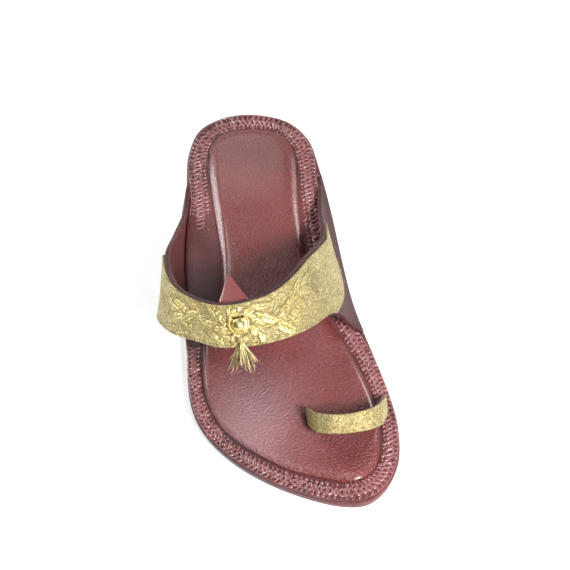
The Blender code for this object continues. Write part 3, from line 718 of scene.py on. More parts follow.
def strap_points(lines, places, shares):
    """Points of a strap's outer face for arrays of places (counted in rows) and shares of the width."""
    position = np.clip(shares, 0, 1) * SAMPLES
    below = np.minimum(position.astype(int), SAMPLES - 1)
    blend = (position - below)[..., None, None]
    rows = lines[below] * (1 - blend) + lines[below + 1] * blend
    last = lines.shape[1] - 1
    inner = rows[..., 1:-1, :]
    before = 2 * inner[..., :1, :] - inner[..., 1:2, :]
    after = 2 * inner[..., -1:, :] - inner[..., -2:-1, :]
    inner = np.concatenate([before, inner, after], axis=-2)
    counted = np.clip(places - 1, 0, last - 2)
    first = np.minimum(counted.astype(int), last - 3)
    four = [
        np.take_along_axis(inner, (first + step)[..., None, None], axis=-2)[..., 0, :] for step in range(4)
    ]
    curve = curve_point(*four, (counted - first)[..., None])
    start = places[..., None]
    end = start - (last - 1)
    first_foot = rows[..., 0, :] * (1 - start) + rows[..., 1, :] * start
    last_foot = rows[..., -2, :] * (1 - end) + rows[..., -1, :] * end
    return np.where(start < 1, first_foot, np.where(end > 0, last_foot, curve))


def strap_surface(lines, places, shares, near=0.02):
    points = strap_points(lines, places, shares)
    forward = strap_points(lines, places, np.minimum(shares + near, 1))
    rearward = strap_points(lines, places, np.maximum(shares - near, 0))
    onward = strap_points(lines, places + near, shares) - strap_points(lines, places - near, shares)
    normals = np.cross(forward - rearward, onward)
    return points, normals / np.linalg.norm(normals, axis=-1, keepdims=True)


def strap_width(lines, places):
    """How wide the strap is at each place."""
    rear, front = (strap_points(lines, places, np.full_like(places, share)) for share in (0, 1))
    return np.linalg.norm(front - rear, axis=-1)


def strap_place(lines, place, share, outwards=0.0):
    points, normals = strap_surface(lines, np.array([float(place)]), np.array([float(share)]))
    return Vector(points[0] + normals[0] * outwards) + SHIFT, Vector(normals[0])


# %% [markdown]
# ## A strap as a solid with soft edges
#
# Leather that is cut, folded and pressed has rounded edges. The grid of points is packed closer near
# the edges, and there the outer and inner faces sink towards each other along a quarter circle. The two
# faces are then joined round all four sides into one closed skin, which also carries any relief.

# %% Strap solids
MERGE = 0.000001
MOST_SOFT = 0.0008
MOTIF_FROM, MOTIF_RANGE = 0.00014, 0.00034  # height at which the leaves' finish begins, and its fade


def spaced(count, edge):
    """Shares from 0 to 1, closer near both ends, and each near one's distance from its end."""
    close = [step * edge for step in (0.0, 0.06, 0.22, 0.5, 0.85, 1.3)]
    middle = [(step + 1) / (count + 1) for step in range(count)]
    shares = [0.0] * len(close) + middle + [1.0] * len(close)
    return np.array(shares), np.array(close + [np.nan] * count + close[::-1])


def closed_skin(bm, skins, slots):
    """Joins two grids of points, outer and inner, into one closed skin. Slots give each grid's finish."""
    rows, columns = len(skins[0]), len(skins[0][0])
    for skin, slot, turned in zip(skins, slots, (False, True)):
        for this, following in zip(skin[:-1], skin[1:]):
            for column in range(columns - 1):
                corners = (this[column], this[column + 1], following[column + 1], following[column])
                bm.faces.new(corners[::-1] if turned else corners).material_index = slot
    around = [(0, column) for column in range(columns)] + [(row, columns - 1) for row in range(1, rows)]
    around += [(rows - 1, column) for column in range(columns - 2, -1, -1)]
    around += [(row, 0) for row in range(rows - 2, 0, -1)]
    for (row, column), (next_row, next_column) in zip(around, around[1:] + around[:1]):
        bm.faces.new((
            skins[0][next_row][next_column], skins[0][row][column],
            skins[1][row][column], skins[1][next_row][next_column],
        ))


def softened(distance, radius):
    """How far a face sinks at this distance from an edge that is rounded to radius."""
    reach = np.clip(distance / radius, 0, 1)
    return radius * (1 - np.sqrt(1 - (1 - reach) ** 2))


def strap_solid(name, lines, ends, first_share, low, high, counts, relief=None):
    """Ends are two functions of share that give the places where the piece starts and ends."""
    radius = min((high - low) * 0.45, MOST_SOFT)
    across, from_edge = spaced(counts[1], radius)
    along, from_end = spaced(counts[0], radius)
    widthwise = across * (1 - first_share) + first_share
    starts, stops = (np.array([end(share) for share in widthwise]) for end in ends)
    places = starts + along[:, None] * (stops - starts)
    shares = np.broadcast_to(widthwise, places.shape).copy()
    width = strap_width(lines, places)
    near = ~np.isnan(from_edge)
    toward = np.where(across[near] < 0.5, 1, -1)
    shares[:, near] += toward * from_edge[near] / width[:, near]
    pace = np.linalg.norm(
        strap_points(lines, places + 0.05, shares) - strap_points(lines, places - 0.05, shares), axis=-1
    ) / 0.1
    close = ~np.isnan(from_end)
    ahead = np.where(along[close] < 0.5, 1, -1)[:, None]
    places[close] += ahead * from_end[close][:, None] / pace[close]
    points, normals = strap_surface(lines, places, shares)
    edge_gap = np.minimum(shares - first_share, 1 - shares) * width
    end_gap = np.minimum(places - starts, stops - places) * pace
    sink = np.maximum(softened(edge_gap, radius), softened(end_gap, radius))
    height = np.zeros_like(places) if relief is None else relief(places, shares, width)
    outer = points + normals * (high - sink + height * (sink < radius * 0.02))[..., None]
    inner = points + normals * (low + sink)[..., None]
    bm = bmesh.new()
    motif = bm.verts.layers.float.new("motif")
    skins = []
    for face_points in (outer, inner):
        skins.append([[bm.verts.new(Vector(point) + SHIFT) for point in row] for row in face_points])
    for row, line in enumerate(skins[0]):
        for column, vert in enumerate(line):
            vert[motif] = float(held((height[row, column] - MOTIF_FROM) / MOTIF_RANGE))
    closed_skin(bm, skins, (0, 1))
    bmesh.ops.remove_doubles(bm, verts=bm.verts, dist=MERGE)
    bmesh.ops.recalc_face_normals(bm, faces=bm.faces)
    return finished_mesh(bm, name, 50)


def straight(*places):
    """Ends of a strap that are cut straight across, each at its place."""
    return [lambda share, place=place: place for place in places]


strap = new_piece(
    strap_solid("instep_leather", STRAP_LINES, straight(0.0, 16.0), 0.0, -WALL, 0.0, (200, 40)),
    [strap_leather, lining_finish],
)
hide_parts("instep_strap")
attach(strap, "root")
print("strap", len(strap.data.vertices), "points")

# %% [markdown]
# ## Gold cover with leaves
#
# The cover is cloth over the front of the strap. Its leaves are woven proud of the ground: a ring of
# petals round the medallion, and a trailing stem of leaves to each side. A height for every point of
# the grid raises them, so they catch the light and cast shadows as the real ones do.

# %% Leaves of the brocade
CROWN = 8.0
PLATE_PLACE = (7.75, 0.48)
COVER_START = (4.0, 3.1, 2.6, 2.5)
COVER_END = (13.6, 13.8, 14.0, 12.6)
COVER_GAP = 0.0004
CLOSE = 0.00004  # air between the cloth and the leather
COVER_WALL = 0.0010
COVER_MARGIN = 0.0012
LEAF_HIGH, CREASE_HIGH = 0.00080, 0.00020
STEM_SWING, STEM_PACE = 4.2, 8.5


def end_curve(ends):
    knots = [Vector((end, end)) for end in ends]
    padded = [knots[0] * 2 - knots[1], *knots, knots[-1] * 2 - knots[-2]]

    def place(share):
        counted = held(share) * (len(ends) - 1)
        first = min(int(counted), len(ends) - 2)
        return curve_point(*padded[first:first + 4], counted - first).x

    return place


def leaf_list():
    """Leaves as (along, across, angle, length, width) in millimetres from the medallion, lowest first."""
    draw = random.Random(7)
    leaves = []
    for side in (-1, 1):
        for step in range(8):
            along = side * (58.0 - 5.6 * step)
            stem = STEM_SWING * math.sin(along / STEM_PACE)
            for flank in (-1, 1):
                size = 0.72 + step * 0.07 + draw.uniform(-0.12, 0.12)
                tilt = (0 if side > 0 else math.pi) + flank * side * (0.7 + draw.uniform(-0.45, 0.45))
                reach = 5.0 * size
                leaves.append((
                    along + reach * math.cos(tilt), stem + reach * math.sin(tilt),
                    tilt, 12.0 * size, 5.2 * size,
                ))
    for count, away, long, wide in ((8, 12.0, 13.5, 4.6), (7, 7.4, 8.5, 4.4)):
        for petal in range(count):
            angle = 2 * math.pi * (petal + draw.uniform(-0.2, 0.2)) / count
            leaves.append((
                away * 1.15 * math.cos(angle), away * 0.8 * math.sin(angle), angle + draw.uniform(0.2, 0.9),
                long * draw.uniform(0.85, 1.2), wide * draw.uniform(0.8, 1.15),
            ))
    return leaves


def leaf_relief(places, shares, width):
    """Height of the leaves above the ground at each point of the cover, in metres."""
    steps = np.linspace(0, 16, 801)
    middle = strap_points(STRAP_LINES, steps, np.full_like(steps, 0.5))
    travelled = np.concatenate([[0], np.cumsum(np.linalg.norm(np.diff(middle, axis=0), axis=1))])
    along = (np.interp(places, steps, travelled) - np.interp(PLATE_PLACE[0], steps, travelled)) * 1000
    across = (shares - PLATE_PLACE[1]) * width * 1000
    height = np.zeros_like(places)
    for leaf_along, leaf_across, angle, length, breadth in leaf_list():
        ahead = (along - leaf_along) * math.cos(angle) + (across - leaf_across) * math.sin(angle)
        aside = (across - leaf_across) * math.cos(angle) - (along - leaf_along) * math.sin(angle)
        taper = breadth / 2 * np.clip(1 - (2 * ahead / length) ** 2, 0, 1) ** 0.8
        inside = np.clip(1 - (aside / np.maximum(taper, 0.01)) ** 2, 0, 1)
        vein = 0.4 * np.exp(-((aside / 0.3) ** 2))
        ribs = 0.06 * np.sin(2.6 * (np.abs(aside) * 1.4 - ahead))
        own = np.sqrt(inside) * (1 - vein + ribs) * np.clip(taper, 0, 0.9) / 0.9
        height = np.where(inside > 0.02, own, height)
    stem = STEM_SWING * np.sin(along / STEM_PACE)
    line = np.exp(-(((across - stem) / 0.45) ** 2)) * (np.abs(along) > 11) * (np.abs(along) < 66)
    crease = np.sin(along / 1.2 + 2.4 * np.sin(across / 2.1)) * np.exp(-((along / 30) ** 2))
    fade = np.clip((64 - np.abs(along)) / 34, 0, 1)
    return np.maximum(height, 0.55 * line) * fade * LEAF_HIGH + crease * CREASE_HIGH


crown_width = strap_width(STRAP_LINES, np.array([CROWN]))[0]
cover = new_piece(
    strap_solid(
        "gold_cover", STRAP_LINES, (end_curve(COVER_START), end_curve(COVER_END)), COVER_MARGIN / crown_width,
        CLOSE, COVER_GAP + COVER_WALL, (420, 90), leaf_relief,
    ),
    [strap_brocade, strap_brocade],
)
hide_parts("strap_cover")
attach(cover, "root")
print("cover", len(cover.data.vertices), "points")

# %% [markdown]
# ## Toe loop
#
# The loop for the big toe is the same kind of strap: a thin lining, and gold cloth over it. Its two feet
# go down through slots in the pad and the rim, so the slots are cut from both with one box each.

# %% Toe loop and its slots
RING_WALL = 0.0014
RING_GOLD = 0.0009
SLOT_ROOM = 0.0012
SLOT_DEEP, SLOT_MIDDLE = 0.012, 0.0096
ring_lining = new_piece(
    strap_solid("toe_loop_lining", RING_LINES, straight(0.0, 10.0), 0.0, -RING_WALL, 0.0, (70, 12)),
    [lining_finish, lining_finish],
)
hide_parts("toe_ring")
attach(ring_lining, "root")
ring_cover = new_piece(
    strap_solid(
        "toe_loop_gold", RING_LINES, straight(1.1, 9.5), 0.0, CLOSE, COVER_GAP + RING_GOLD, (140, 26)
    ),
    [ring_brocade, ring_brocade],
)
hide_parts("toe_ring_cover")
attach(ring_cover, "root")


def cut_slots(piece):
    for place in (0.0, 10.0):
        middle, normal = strap_place(RING_LINES, place, 0.5)
        rear, _ = strap_place(RING_LINES, place, 0.0)
        front, _ = strap_place(RING_LINES, place, 1.0)
        run = front - rear
        centre = middle - normal * RING_WALL / 2
        bm = bmesh.new()
        bmesh.ops.create_cube(bm, size=1)
        bmesh.ops.scale(bm, vec=(RING_WALL + SLOT_ROOM, run.length + SLOT_ROOM, SLOT_DEEP), verts=bm.verts)
        moved = Matrix.Translation((centre.x, centre.y, lift(centre.y - SHIFT.y) + SLOT_MIDDLE))
        turned = Matrix.Rotation(math.atan2(run.x, -run.y), 4, "Z")
        bmesh.ops.transform(bm, matrix=moved @ turned, verts=bm.verts)
        mesh = bpy.data.meshes.new("slot")
        bm.to_mesh(mesh)
        bm.free()
        cutter = bpy.data.objects.new("slot", mesh)
        bpy.context.collection.objects.link(cutter)
        hole = piece.modifiers.new("slot", "BOOLEAN")
        hole.solver = "EXACT"
        hole.object = cutter
        settle(piece)
        bpy.data.objects.remove(cutter)


def settle(piece):
    """Applies a piece's modifiers, so that its plain mesh is the finished shape."""
    graph = bpy.context.evaluated_depsgraph_get()
    made = bpy.data.meshes.new_from_object(piece.evaluated_get(graph), depsgraph=graph)
    piece.modifiers.clear()
    piece.data = made


cut_slots(pad)
cut_slots(rim)
print("slots cut:", len(pad.data.polygons), "pad faces", len(rim.data.polygons), "rim faces")

# %% [markdown]
# ## Tongue
#
# A pointed tab of strap leather is tucked under the crown's rear edge, to keep the seam off the foot.
# It is a small ruled sheet: wide where it is tucked in, running to a point, with its edges turned down.

# %% Tongue
TONGUE_ROW = 7.65
TONGUE_REACH = 0.0155
TONGUE_TUCK = 0.007
TONGUE_WALL = 0.0014
TONGUE_DEPTH = 0.0027  # from the strap's outer face down to the tongue
TONGUE_HALF, TIP_HALF = 0.008, 0.0006
TONGUE_COLUMNS, TONGUE_BANDS = 20, 30


def make_tongue():
    rear, front = (strap_place(STRAP_LINES, TONGUE_ROW, share)[0] for share in (0.0, 1.0))
    before, after = (strap_place(STRAP_LINES, TONGUE_ROW + step, 0.0)[0] for step in (-0.5, 0.5))
    forwards = front - rear
    row_length = (after - before).length
    backwards = Vector((0, -forwards.y, -forwards.z * 0.15)).normalized()
    turned = TONGUE_WALL * 0.45  # how far the edges turn down
    bm = bmesh.new()
    skins = []
    for depth in (0.0, TONGUE_WALL):
        skin = []
        for band in range(TONGUE_BANDS + 1):
            reach = TONGUE_REACH - (TONGUE_REACH + TONGUE_TUCK) * band / TONGUE_BANDS
            half = TIP_HALF + (TONGUE_HALF - TIP_HALF) * (1 - max(reach, 0) / TONGUE_REACH)
            share = max(-reach, 0) / forwards.length
            tip = turned if band == 0 else 0.0
            line = []
            for column in range(TONGUE_COLUMNS + 1):
                across = 2 * column / TONGUE_COLUMNS - 1
                edge = turned * max(abs(across) - 0.86, 0) / 0.14
                down = TONGUE_DEPTH + depth + (edge + tip) * (1 if depth == 0 else -1)
                point, _ = strap_place(STRAP_LINES, TONGUE_ROW + across * half / row_length, share, -down)
                line.append(bm.verts.new(point + backwards * max(reach, 0)))
            skin.append(line)
        skins.append(skin)
    closed_skin(bm, skins, (0, 0))
    bmesh.ops.recalc_face_normals(bm, faces=bm.faces)
    return new_piece(finished_mesh(bm, "tongue_leather", 50), [tongue_finish])


tongue = make_tongue()
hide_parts("tongue")
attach(tongue, "root")

# %% [markdown]
# ## Trees for what repeats
#
# Beads, stitches and rope all repeat along a path, so Geometry Nodes make them. The path is a line of
# edges whose points carry an outward direction named up. One tree sets small rounded pieces along it,
# another sweeps a flattened strand that waves from side to side and over and under.

# %% Geometry Nodes helpers
def new_tree(name, inputs):
    tree = bpy.data.node_groups.new(name, "GeometryNodeTree")
    tree.interface.new_socket("Geometry", in_out="INPUT", socket_type="NodeSocketGeometry")
    for label, kind, value in inputs:
        socket = tree.interface.new_socket(label, in_out="INPUT", socket_type=kind)
        if value is not None:
            socket.default_value = value
    tree.interface.new_socket("Geometry", in_out="OUTPUT", socket_type="NodeSocketGeometry")
    given = node(tree, "NodeGroupInput").outputs
    return tree, given, node(tree, "NodeGroupOutput")


def path_curve(tree, given, count):
    curve = node(tree, "GeometryNodeMeshToCurve", {"Mesh": given["Geometry"]}).outputs["Curve"]
    return node(tree, "GeometryNodeResampleCurve", {"Curve": curve, "Count": count}).outputs["Curve"]


def named(tree, name, kind="FLOAT_VECTOR"):
    return node(tree, "GeometryNodeInputNamedAttribute", {"Name": name}, data_type=kind).outputs["Attribute"]


def scaled(tree, vector, amount):
    made = node(tree, "ShaderNodeVectorMath", {0: vector, "Scale": amount}, operation="SCALE")
    return made.outputs["Vector"]


def closing(tree, geometry, given, end, soft=True):
    """Ends a tree: smooth shading where it is soft, and the material."""
    if soft:
        geometry = node(tree, "GeometryNodeSetShadeSmooth", {"Geometry": geometry}).outputs["Geometry"]
    painted = node(tree, "GeometryNodeSetMaterial", {"Geometry": geometry, "Material": given["Material"]})
    tree.links.new(painted.outputs["Geometry"], end.inputs["Geometry"])


def on_points(tree, points, piece, scale, rotation=(0, 0, 0)):
    """A copy of a piece on every point, as real mesh."""
    placed = node(tree, "GeometryNodeInstanceOnPoints", {
        "Points": points, "Instance": piece.outputs["Mesh"], "Rotation": rotation, "Scale": scale,
    })
    return node(tree, "GeometryNodeRealizeInstances", {"Geometry": placed.outputs["Instances"]}).outputs[0]


def run_tree():
    """Rounded pieces along a path: Size is half their length, width and height."""
    tree, given, end = new_tree("run_of_pieces", (
        ("Count", "NodeSocketInt", 10), ("Size", "NodeSocketVector", (0.001, 0.001, 0.001)),
        ("Turn", "NodeSocketFloat", 0.0), ("Aside", "NodeSocketFloat", 0.0),
        ("Uneven", "NodeSocketFloat", 0.0), ("Material", "NodeSocketMaterial", None),
    ))
    curve = path_curve(tree, given, given["Count"])
    aside = scaled(tree, named(tree, "side"), named(tree, "half_width", "FLOAT"))
    aside = scaled(tree, aside, given["Aside"])
    placed = node(tree, "GeometryNodeSetPosition", {"Geometry": curve, "Offset": aside}).outputs["Geometry"]
    tangent = node(tree, "GeometryNodeInputTangent").outputs["Tangent"]
    along = node(tree, "FunctionNodeAlignRotationToVector", {"Vector": tangent}, axis="X")
    upright = node(tree, "FunctionNodeAlignRotationToVector", {
        "Rotation": along.outputs[0], "Vector": named(tree, "up"),
    }, axis="Z", pivot_axis="X")
    turned = node(tree, "ShaderNodeCombineXYZ", {"Z": given["Turn"]})
    turned = node(tree, "FunctionNodeEulerToRotation", {"Euler": turned.outputs[0]})
    facing = node(
        tree, "FunctionNodeRotateRotation", {"Rotation": upright.outputs[0], "Rotate By": turned.outputs[0]},
        rotation_space="LOCAL",
    )
    low = calculate(tree, "SUBTRACT", 1.0, given["Uneven"])
    high = calculate(tree, "ADD", 1.0, given["Uneven"])
    factor = node(tree, "FunctionNodeRandomValue", {
        "Min": low, "Max": high, "Seed": 3,
    }, data_type="FLOAT_VECTOR")
    size = node(tree, "ShaderNodeVectorMath", {
        0: factor.outputs[0], 1: given["Size"],
    }, operation="MULTIPLY")
    ball = node(tree, "GeometryNodeMeshUVSphere", {"Segments": 10, "Rings": 6, "Radius": 1.0})
    whole = on_points(tree, placed, ball, size.outputs[0], facing.outputs[0])
    closing(tree, whole, given, end)
    return tree


def strand_tree():
    """A flattened strand along a path, waving across it and weaving over and under."""
    tree, given, end = new_tree("waving_strand", (
        ("Waves", "NodeSocketInt", 10), ("Steps", "NodeSocketInt", 120),
        ("Phase", "NodeSocketFloat", 0.0), ("Aside", "NodeSocketFloat", 0.0),
        ("Reach", "NodeSocketFloat", 1.0), ("Weave", "NodeSocketFloat", 0.0),
        ("Wander", "NodeSocketFloat", 0.0), ("Radius", "NodeSocketFloat", 0.001),
        ("Flatness", "NodeSocketFloat", 0.5), ("Material", "NodeSocketMaterial", None),
    ))
    curve = path_curve(tree, given, given["Steps"])
    place = node(tree, "GeometryNodeInputPosition").outputs["Position"]
    wander = calculate(tree, "SUBTRACT", noise(tree, place, 380.0, 1.0), 0.5)
    wander = calculate(tree, "MULTIPLY", wander, given["Wander"])
    thickness = calculate(tree, "ADD", calculate(tree, "MULTIPLY", wander, 0.55), 1.0)
    factor = node(tree, "GeometryNodeSplineParameter").outputs["Factor"]
    angle = calculate(tree, "MULTIPLY", calculate(tree, "MULTIPLY", factor, given["Waves"]), 2 * math.pi)
    angle = calculate(tree, "ADD", calculate(tree, "ADD", angle, given["Phase"]), wander)
    swing = calculate(tree, "MULTIPLY", calculate(tree, "SINE", angle), given["Reach"])
    swing = calculate(tree, "ADD", swing, given["Aside"])
    swing = calculate(tree, "MULTIPLY", swing, named(tree, "half_width", "FLOAT"))
    rise = calculate(tree, "MULTIPLY", calculate(tree, "COSINE", angle), given["Weave"])
    offset = node(tree, "ShaderNodeVectorMath", {
        0: scaled(tree, named(tree, "side"), swing), 1: scaled(tree, named(tree, "up"), rise),
    }, operation="ADD")
    placed = node(tree, "GeometryNodeSetPosition", {"Geometry": curve, "Offset": offset.outputs[0]})
    upright = node(tree, "GeometryNodeSetCurveNormal", {"Curve": placed.outputs[0]}, mode="Z_UP")
    ring = node(tree, "GeometryNodeCurvePrimitiveCircle", {"Resolution": 8, "Radius": given["Radius"]})
    flat = node(tree, "ShaderNodeCombineXYZ", {"X": 1.0, "Y": given["Flatness"], "Z": 1.0})
    profile = node(tree, "GeometryNodeTransform", {
        "Geometry": ring.outputs["Curve"], "Scale": flat.outputs[0],
    })
    swept = node(tree, "GeometryNodeCurveToMesh", {
        "Curve": upright.outputs[0], "Profile Curve": profile.outputs[0],
        "Scale": thickness, "Fill Caps": True,
    })
    closing(tree, swept.outputs["Mesh"], given, end)
    return tree


def path_object(lines, closed=False, **attributes):
    """Lines of points as edges. An attribute gives a number or a direction for every point in turn."""
    edges = []
    first = 0
    for line in lines:
        last = first + len(line) - 1
        edges += [(index, index + 1) for index in range(first, last)] + ([(last, first)] if closed else [])
        first = last + 1
    mesh = bpy.data.meshes.new("path")
    mesh.from_pydata([tuple(point) for line in lines for point in line], edges, [])
    for name, values in attributes.items():
        values = np.asarray(values, float)
        kind, key = ("FLOAT_VECTOR", "vector") if values.ndim == 2 else ("FLOAT", "value")
        mesh.attributes.new(name, kind, "POINT").data.foreach_set(key, values.ravel())
    obj = bpy.data.objects.new("path", mesh)
    bpy.context.collection.objects.link(obj)
    return obj


def grown(name, path, tree, values, finish):
    """The plain mesh that a tree makes on a path, as a new piece. The path is removed."""
    modifier = path.modifiers.new("grow", "NODES")
    modifier.node_group = tree
    for item in tree.interface.items_tree:
        if item.in_out == "INPUT" and item.name in values:
            modifier[item.identifier] = values[item.name]
        elif item.in_out == "INPUT" and item.name == "Material":
            modifier[item.identifier] = finish
    path.update_tag()
    graph = bpy.context.evaluated_depsgraph_get()
    mesh = bpy.data.meshes.new_from_object(path.evaluated_get(graph), depsgraph=graph)
    mesh.name = name
    mesh.materials.clear()
    bpy.data.objects.remove(path)
    piece = new_piece(mesh, [finish])
    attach(piece, "root")
    print(name, len(mesh.polygons), "faces")
    return piece


RUN = run_tree()
STRAND = strand_tree()

# %% [markdown]
# ## Embossed rim
#
# The rim between the pad and the edge is pressed with a traditional interlaced cable: two strands that
# cross and make small dark eyes, a row of slanted beads on each side, and a thin line along the outer
# edge. A heated roller presses it, and its print is never even, so the strands wander and swell and the
# beads differ in size. Behind the strap on the lateral side the leather is smooth, and there the line of
# the ornament sinks below it.

# %% Middle line of the rim
RIM_MARGIN = 0.0005
RIM_GROOVE = 0.0016
BAND_LEAST, BAND_MOST = 0.0028, 0.0120
EAR_MARGIN, EAR_FADE = 0.0034, 0.02  # the line keeps this much further in beside an ear, and fades into it
SMOOTH_FROM, SMOOTH_TO, SMOOTH_SINK = 0.068, -0.022, 0.0011
SMOOTH_FADES = (0.024, 0.006)
EYES = 212
UP = (0.0, 0.0, 1.0)
AVERAGE = 11  # points of the moving average that takes out the kinks


def rim_path(steps=1344):
    """Points along the middle of the rim, the way to its side, half its width, and its length."""
    pad_points = np.array([point[:] for point in PAD_PLAN])
    centres = []
    halves = []
    for point in SOLE_PLAN:
        offsets = pad_points - np.array(point[:])
        distances = np.linalg.norm(offsets, axis=1)
        nearest = int(distances.argmin())
        side, rear, front, _ = MEDIAL_EAR if point.x > 0 else LATERAL_EAR
        along = 0.5 - point.y / LENGTH
        beside_ear = held((along - rear) / EAR_FADE + 1) * held((front - along) / EAR_FADE + 1)
        margin = RIM_MARGIN + EAR_MARGIN * beside_ear
        band = min(max(distances[nearest] - margin - RIM_GROOVE, BAND_LEAST), BAND_MOST)
        inwards = offsets[nearest] / distances[nearest]
        centres.append(np.array(point[:]) + inwards * (margin + band / 2))
        halves.append(band / 2)
    rows = np.column_stack([centres, halves]).T
    for _ in range(2):
        wrapped = np.pad(rows, ((0, 0), (AVERAGE // 2, AVERAGE // 2)), "wrap")
        rows = np.array([np.convolve(row, np.ones(AVERAGE) / AVERAGE, "valid") for row in wrapped])
    closed = np.column_stack([rows, rows[:, 0]])
    travelled = np.concatenate([[0], np.cumsum(np.linalg.norm(np.diff(closed[:2]), axis=0))])
    targets = np.arange(steps) / steps * travelled[-1]
    *line, half = (np.interp(targets, travelled, row) for row in closed)
    line = np.stack(line, axis=1)
    tangents = np.roll(line, -1, axis=0) - np.roll(line, 1, axis=0)
    tangents /= np.linalg.norm(tangents, axis=1, keepdims=True)
    sides = np.stack([tangents[:, 1], -tangents[:, 0], np.zeros(steps)], axis=1)
    heights = np.array([lift(y) for y in line[:, 1]]) + DECK
    behind = np.clip((SMOOTH_FROM - line[:, 1]) / SMOOTH_FADES[0], 0, 1)
    behind *= np.clip((line[:, 1] - SMOOTH_TO) / SMOOTH_FADES[1], 0, 1)
    heights -= SMOOTH_SINK * behind * (line[:, 0] < 0)
    points = np.column_stack([line, heights]) + np.array(SHIFT)
    return points, sides, half, travelled[-1]


rim_points, rim_sides, rim_half, rim_length = rim_path()
print("rim line", round(rim_length * 1000), "mm, one eye every", round(rim_length * 1000 / EYES, 2), "mm")

# %% Strands and beads of the rim
def rim_line(raised=0.0):
    """The rim's line as a closed path, raised above the leather."""
    points = rim_points + np.array((0, 0, raised))
    return path_object([points], True, up=np.tile(UP, (len(points), 1)), side=rim_sides, half_width=rim_half)


CABLE = {
    "Waves": EYES // 2, "Steps": EYES * 8, "Aside": 0.0, "Reach": 0.42, "Weave": 0.00022, "Wander": 4.0,
    "Radius": 0.00072, "Flatness": 0.75,
}
LINE = {
    "Waves": 0, "Steps": 600, "Aside": -1.0, "Reach": 0.0, "Weave": 0.00022, "Wander": 0.0,
    "Radius": 0.00028, "Flatness": 0.75,
}
for name, strand, phase in (
    ("rim_cable_1", CABLE, math.pi / 2), ("rim_cable_2", CABLE, -math.pi / 2), ("rim_line_outer", LINE, 0.0),
):
    grown(name, rim_line(CLOSE), STRAND, {**strand, "Phase": phase}, ornament_leather)
for name, aside, turn, size in (
    ("rim_beads_inner", 0.76, 0.6, (0.00072, 0.00115, 0.00068)),
    ("rim_beads_outer", -0.74, -0.6, (0.00072, 0.00120, 0.00068)),
):
    grown(name, rim_line(), RUN, {
        "Count": EYES, "Size": size, "Aside": aside, "Turn": turn, "Uneven": 0.6,
    }, ornament_leather)

# %% [markdown]
# ## Stitching on the cover
#
# A light thread holds the gold cloth down along its front edge. Each stitch is a short rounded piece
# that lies along the edge and stands up along the cover's outward direction.

# %% Edge stitches
def strap_path(lines, place_ends, edge_distance, height, steps=400):
    """A path on a strap at a distance from its front edge, with the outward direction at each point."""
    places = np.linspace(*place_ends, steps)
    points, normals = strap_surface(lines, places, 1 - edge_distance / strap_width(lines, places))
    return path_object([points + normals * height + np.array(SHIFT)], up=normals)


grown("cover_stitches", strap_path(STRAP_LINES, (2.7, 12.5), 0.0013, COVER_GAP + COVER_WALL), RUN, {
    "Count": 90, "Size": (0.00056, 0.00018, 0.00016), "Turn": 0.25, "Uneven": 0.1,
}, thread_finish)

# %% [markdown]
# ## Thong stitches
#
# On each ear a leather thong is laced through slits beside the gold cloth. It shows as four short
# stitches in a row, each a rounded piece that stands across the row, between flat dark pieces that are
# the painted shade of the slits.

# %% Thong
THONG_PLACES = (("thong_medial", 14.25), ("thong_lateral", 2.05))
THONG_PARTS = (
    ("", 0.0003, 4, (0.0010, 0.0015, 0.0008), 0.1, rim_leather),
    # The second part is flat dark pieces, the painted shade of the slits.
    ("_slit_shade", 0.00012, 5, (0.0011, 0.0020, 0.0003), 0.2, hole_shade_finish),
)
for name, place in THONG_PLACES:
    points, normals = strap_surface(STRAP_LINES, np.full(40, place), np.linspace(0.40, 0.66, 40))
    for ending, raised, count, size, uneven, finish in THONG_PARTS:
        row = path_object([points + normals * raised + np.array(SHIFT)], up=normals)
        grown(name + ending, row, RUN, {
            "Count": count, "Size": size, "Turn": 0.5, "Uneven": uneven,
        }, finish)

# %% [markdown]
# ## Medallion
#
# A thin gilt plate, turned like a button, carries a rope-twist ring and a low domed boss, which sits a
# little forward. Behind it, small dark pieces on the plate are the painted shade of its pits. The plate
# and boss are spun from their profiles. The rope is a circle of slanted beads, which is how such rings are
# cast.

# %% Plate, boss and rope ring
def spun(name, profile, base, axis, sides=64):
    """A turned piece: a profile of radius and height, from top to bottom, spun round an axis."""
    turned = axis.to_track_quat("Z", "Y").to_matrix()
    angles = [2 * math.pi * side / sides for side in range(sides)]
    bm = bmesh.new()
    loops = [
        [bm.verts.new(base + turned @ Vector((r * math.cos(a), r * math.sin(a), height))) for a in angles]
        for r, height in profile
    ]
    join_loops(bm, loops)
    bmesh.ops.remove_doubles(bm, verts=bm.verts, dist=MERGE)
    bmesh.ops.recalc_face_normals(bm, faces=bm.faces)
    return new_piece(finished_mesh(bm, name, 50), [gilt])


ON_COVER = COVER_GAP + COVER_WALL + 0.0003
PLATE_RADIUS = 0.0053
PLATE_WALL = 0.0008
ROPE, ROPE_CIRCLE, ROPE_STEPS = 0.00055, 0.0045, 160
BOSS_FORWARD = 0.0006
PIT_PLACES = (-0.75, -0.15, 1)
plate_base, plate_axis = strap_place(STRAP_LINES, *PLATE_PLACE, ON_COVER + 0.0004)
plate = spun("medallion_disc", (
    (0.0, PLATE_WALL), (0.0030, PLATE_WALL), (0.0038, PLATE_WALL * 0.92), (0.0040, PLATE_WALL * 0.8),
    (0.0049, PLATE_WALL * 0.8), (0.0052, PLATE_WALL * 0.6), (PLATE_RADIUS, PLATE_WALL * 0.35),
    (0.0052, 0.0), (0.0, 0.0),
), plate_base, plate_axis)
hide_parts("medallion_plate")
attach(plate, "root")
rearward = (strap_place(STRAP_LINES, PLATE_PLACE[0], 0.0)[0] - plate_base).normalized()
beside_plate = rearward.cross(plate_axis).normalized()
boss_base = plate_base + plate_axis * (PLATE_WALL + 0.00005)
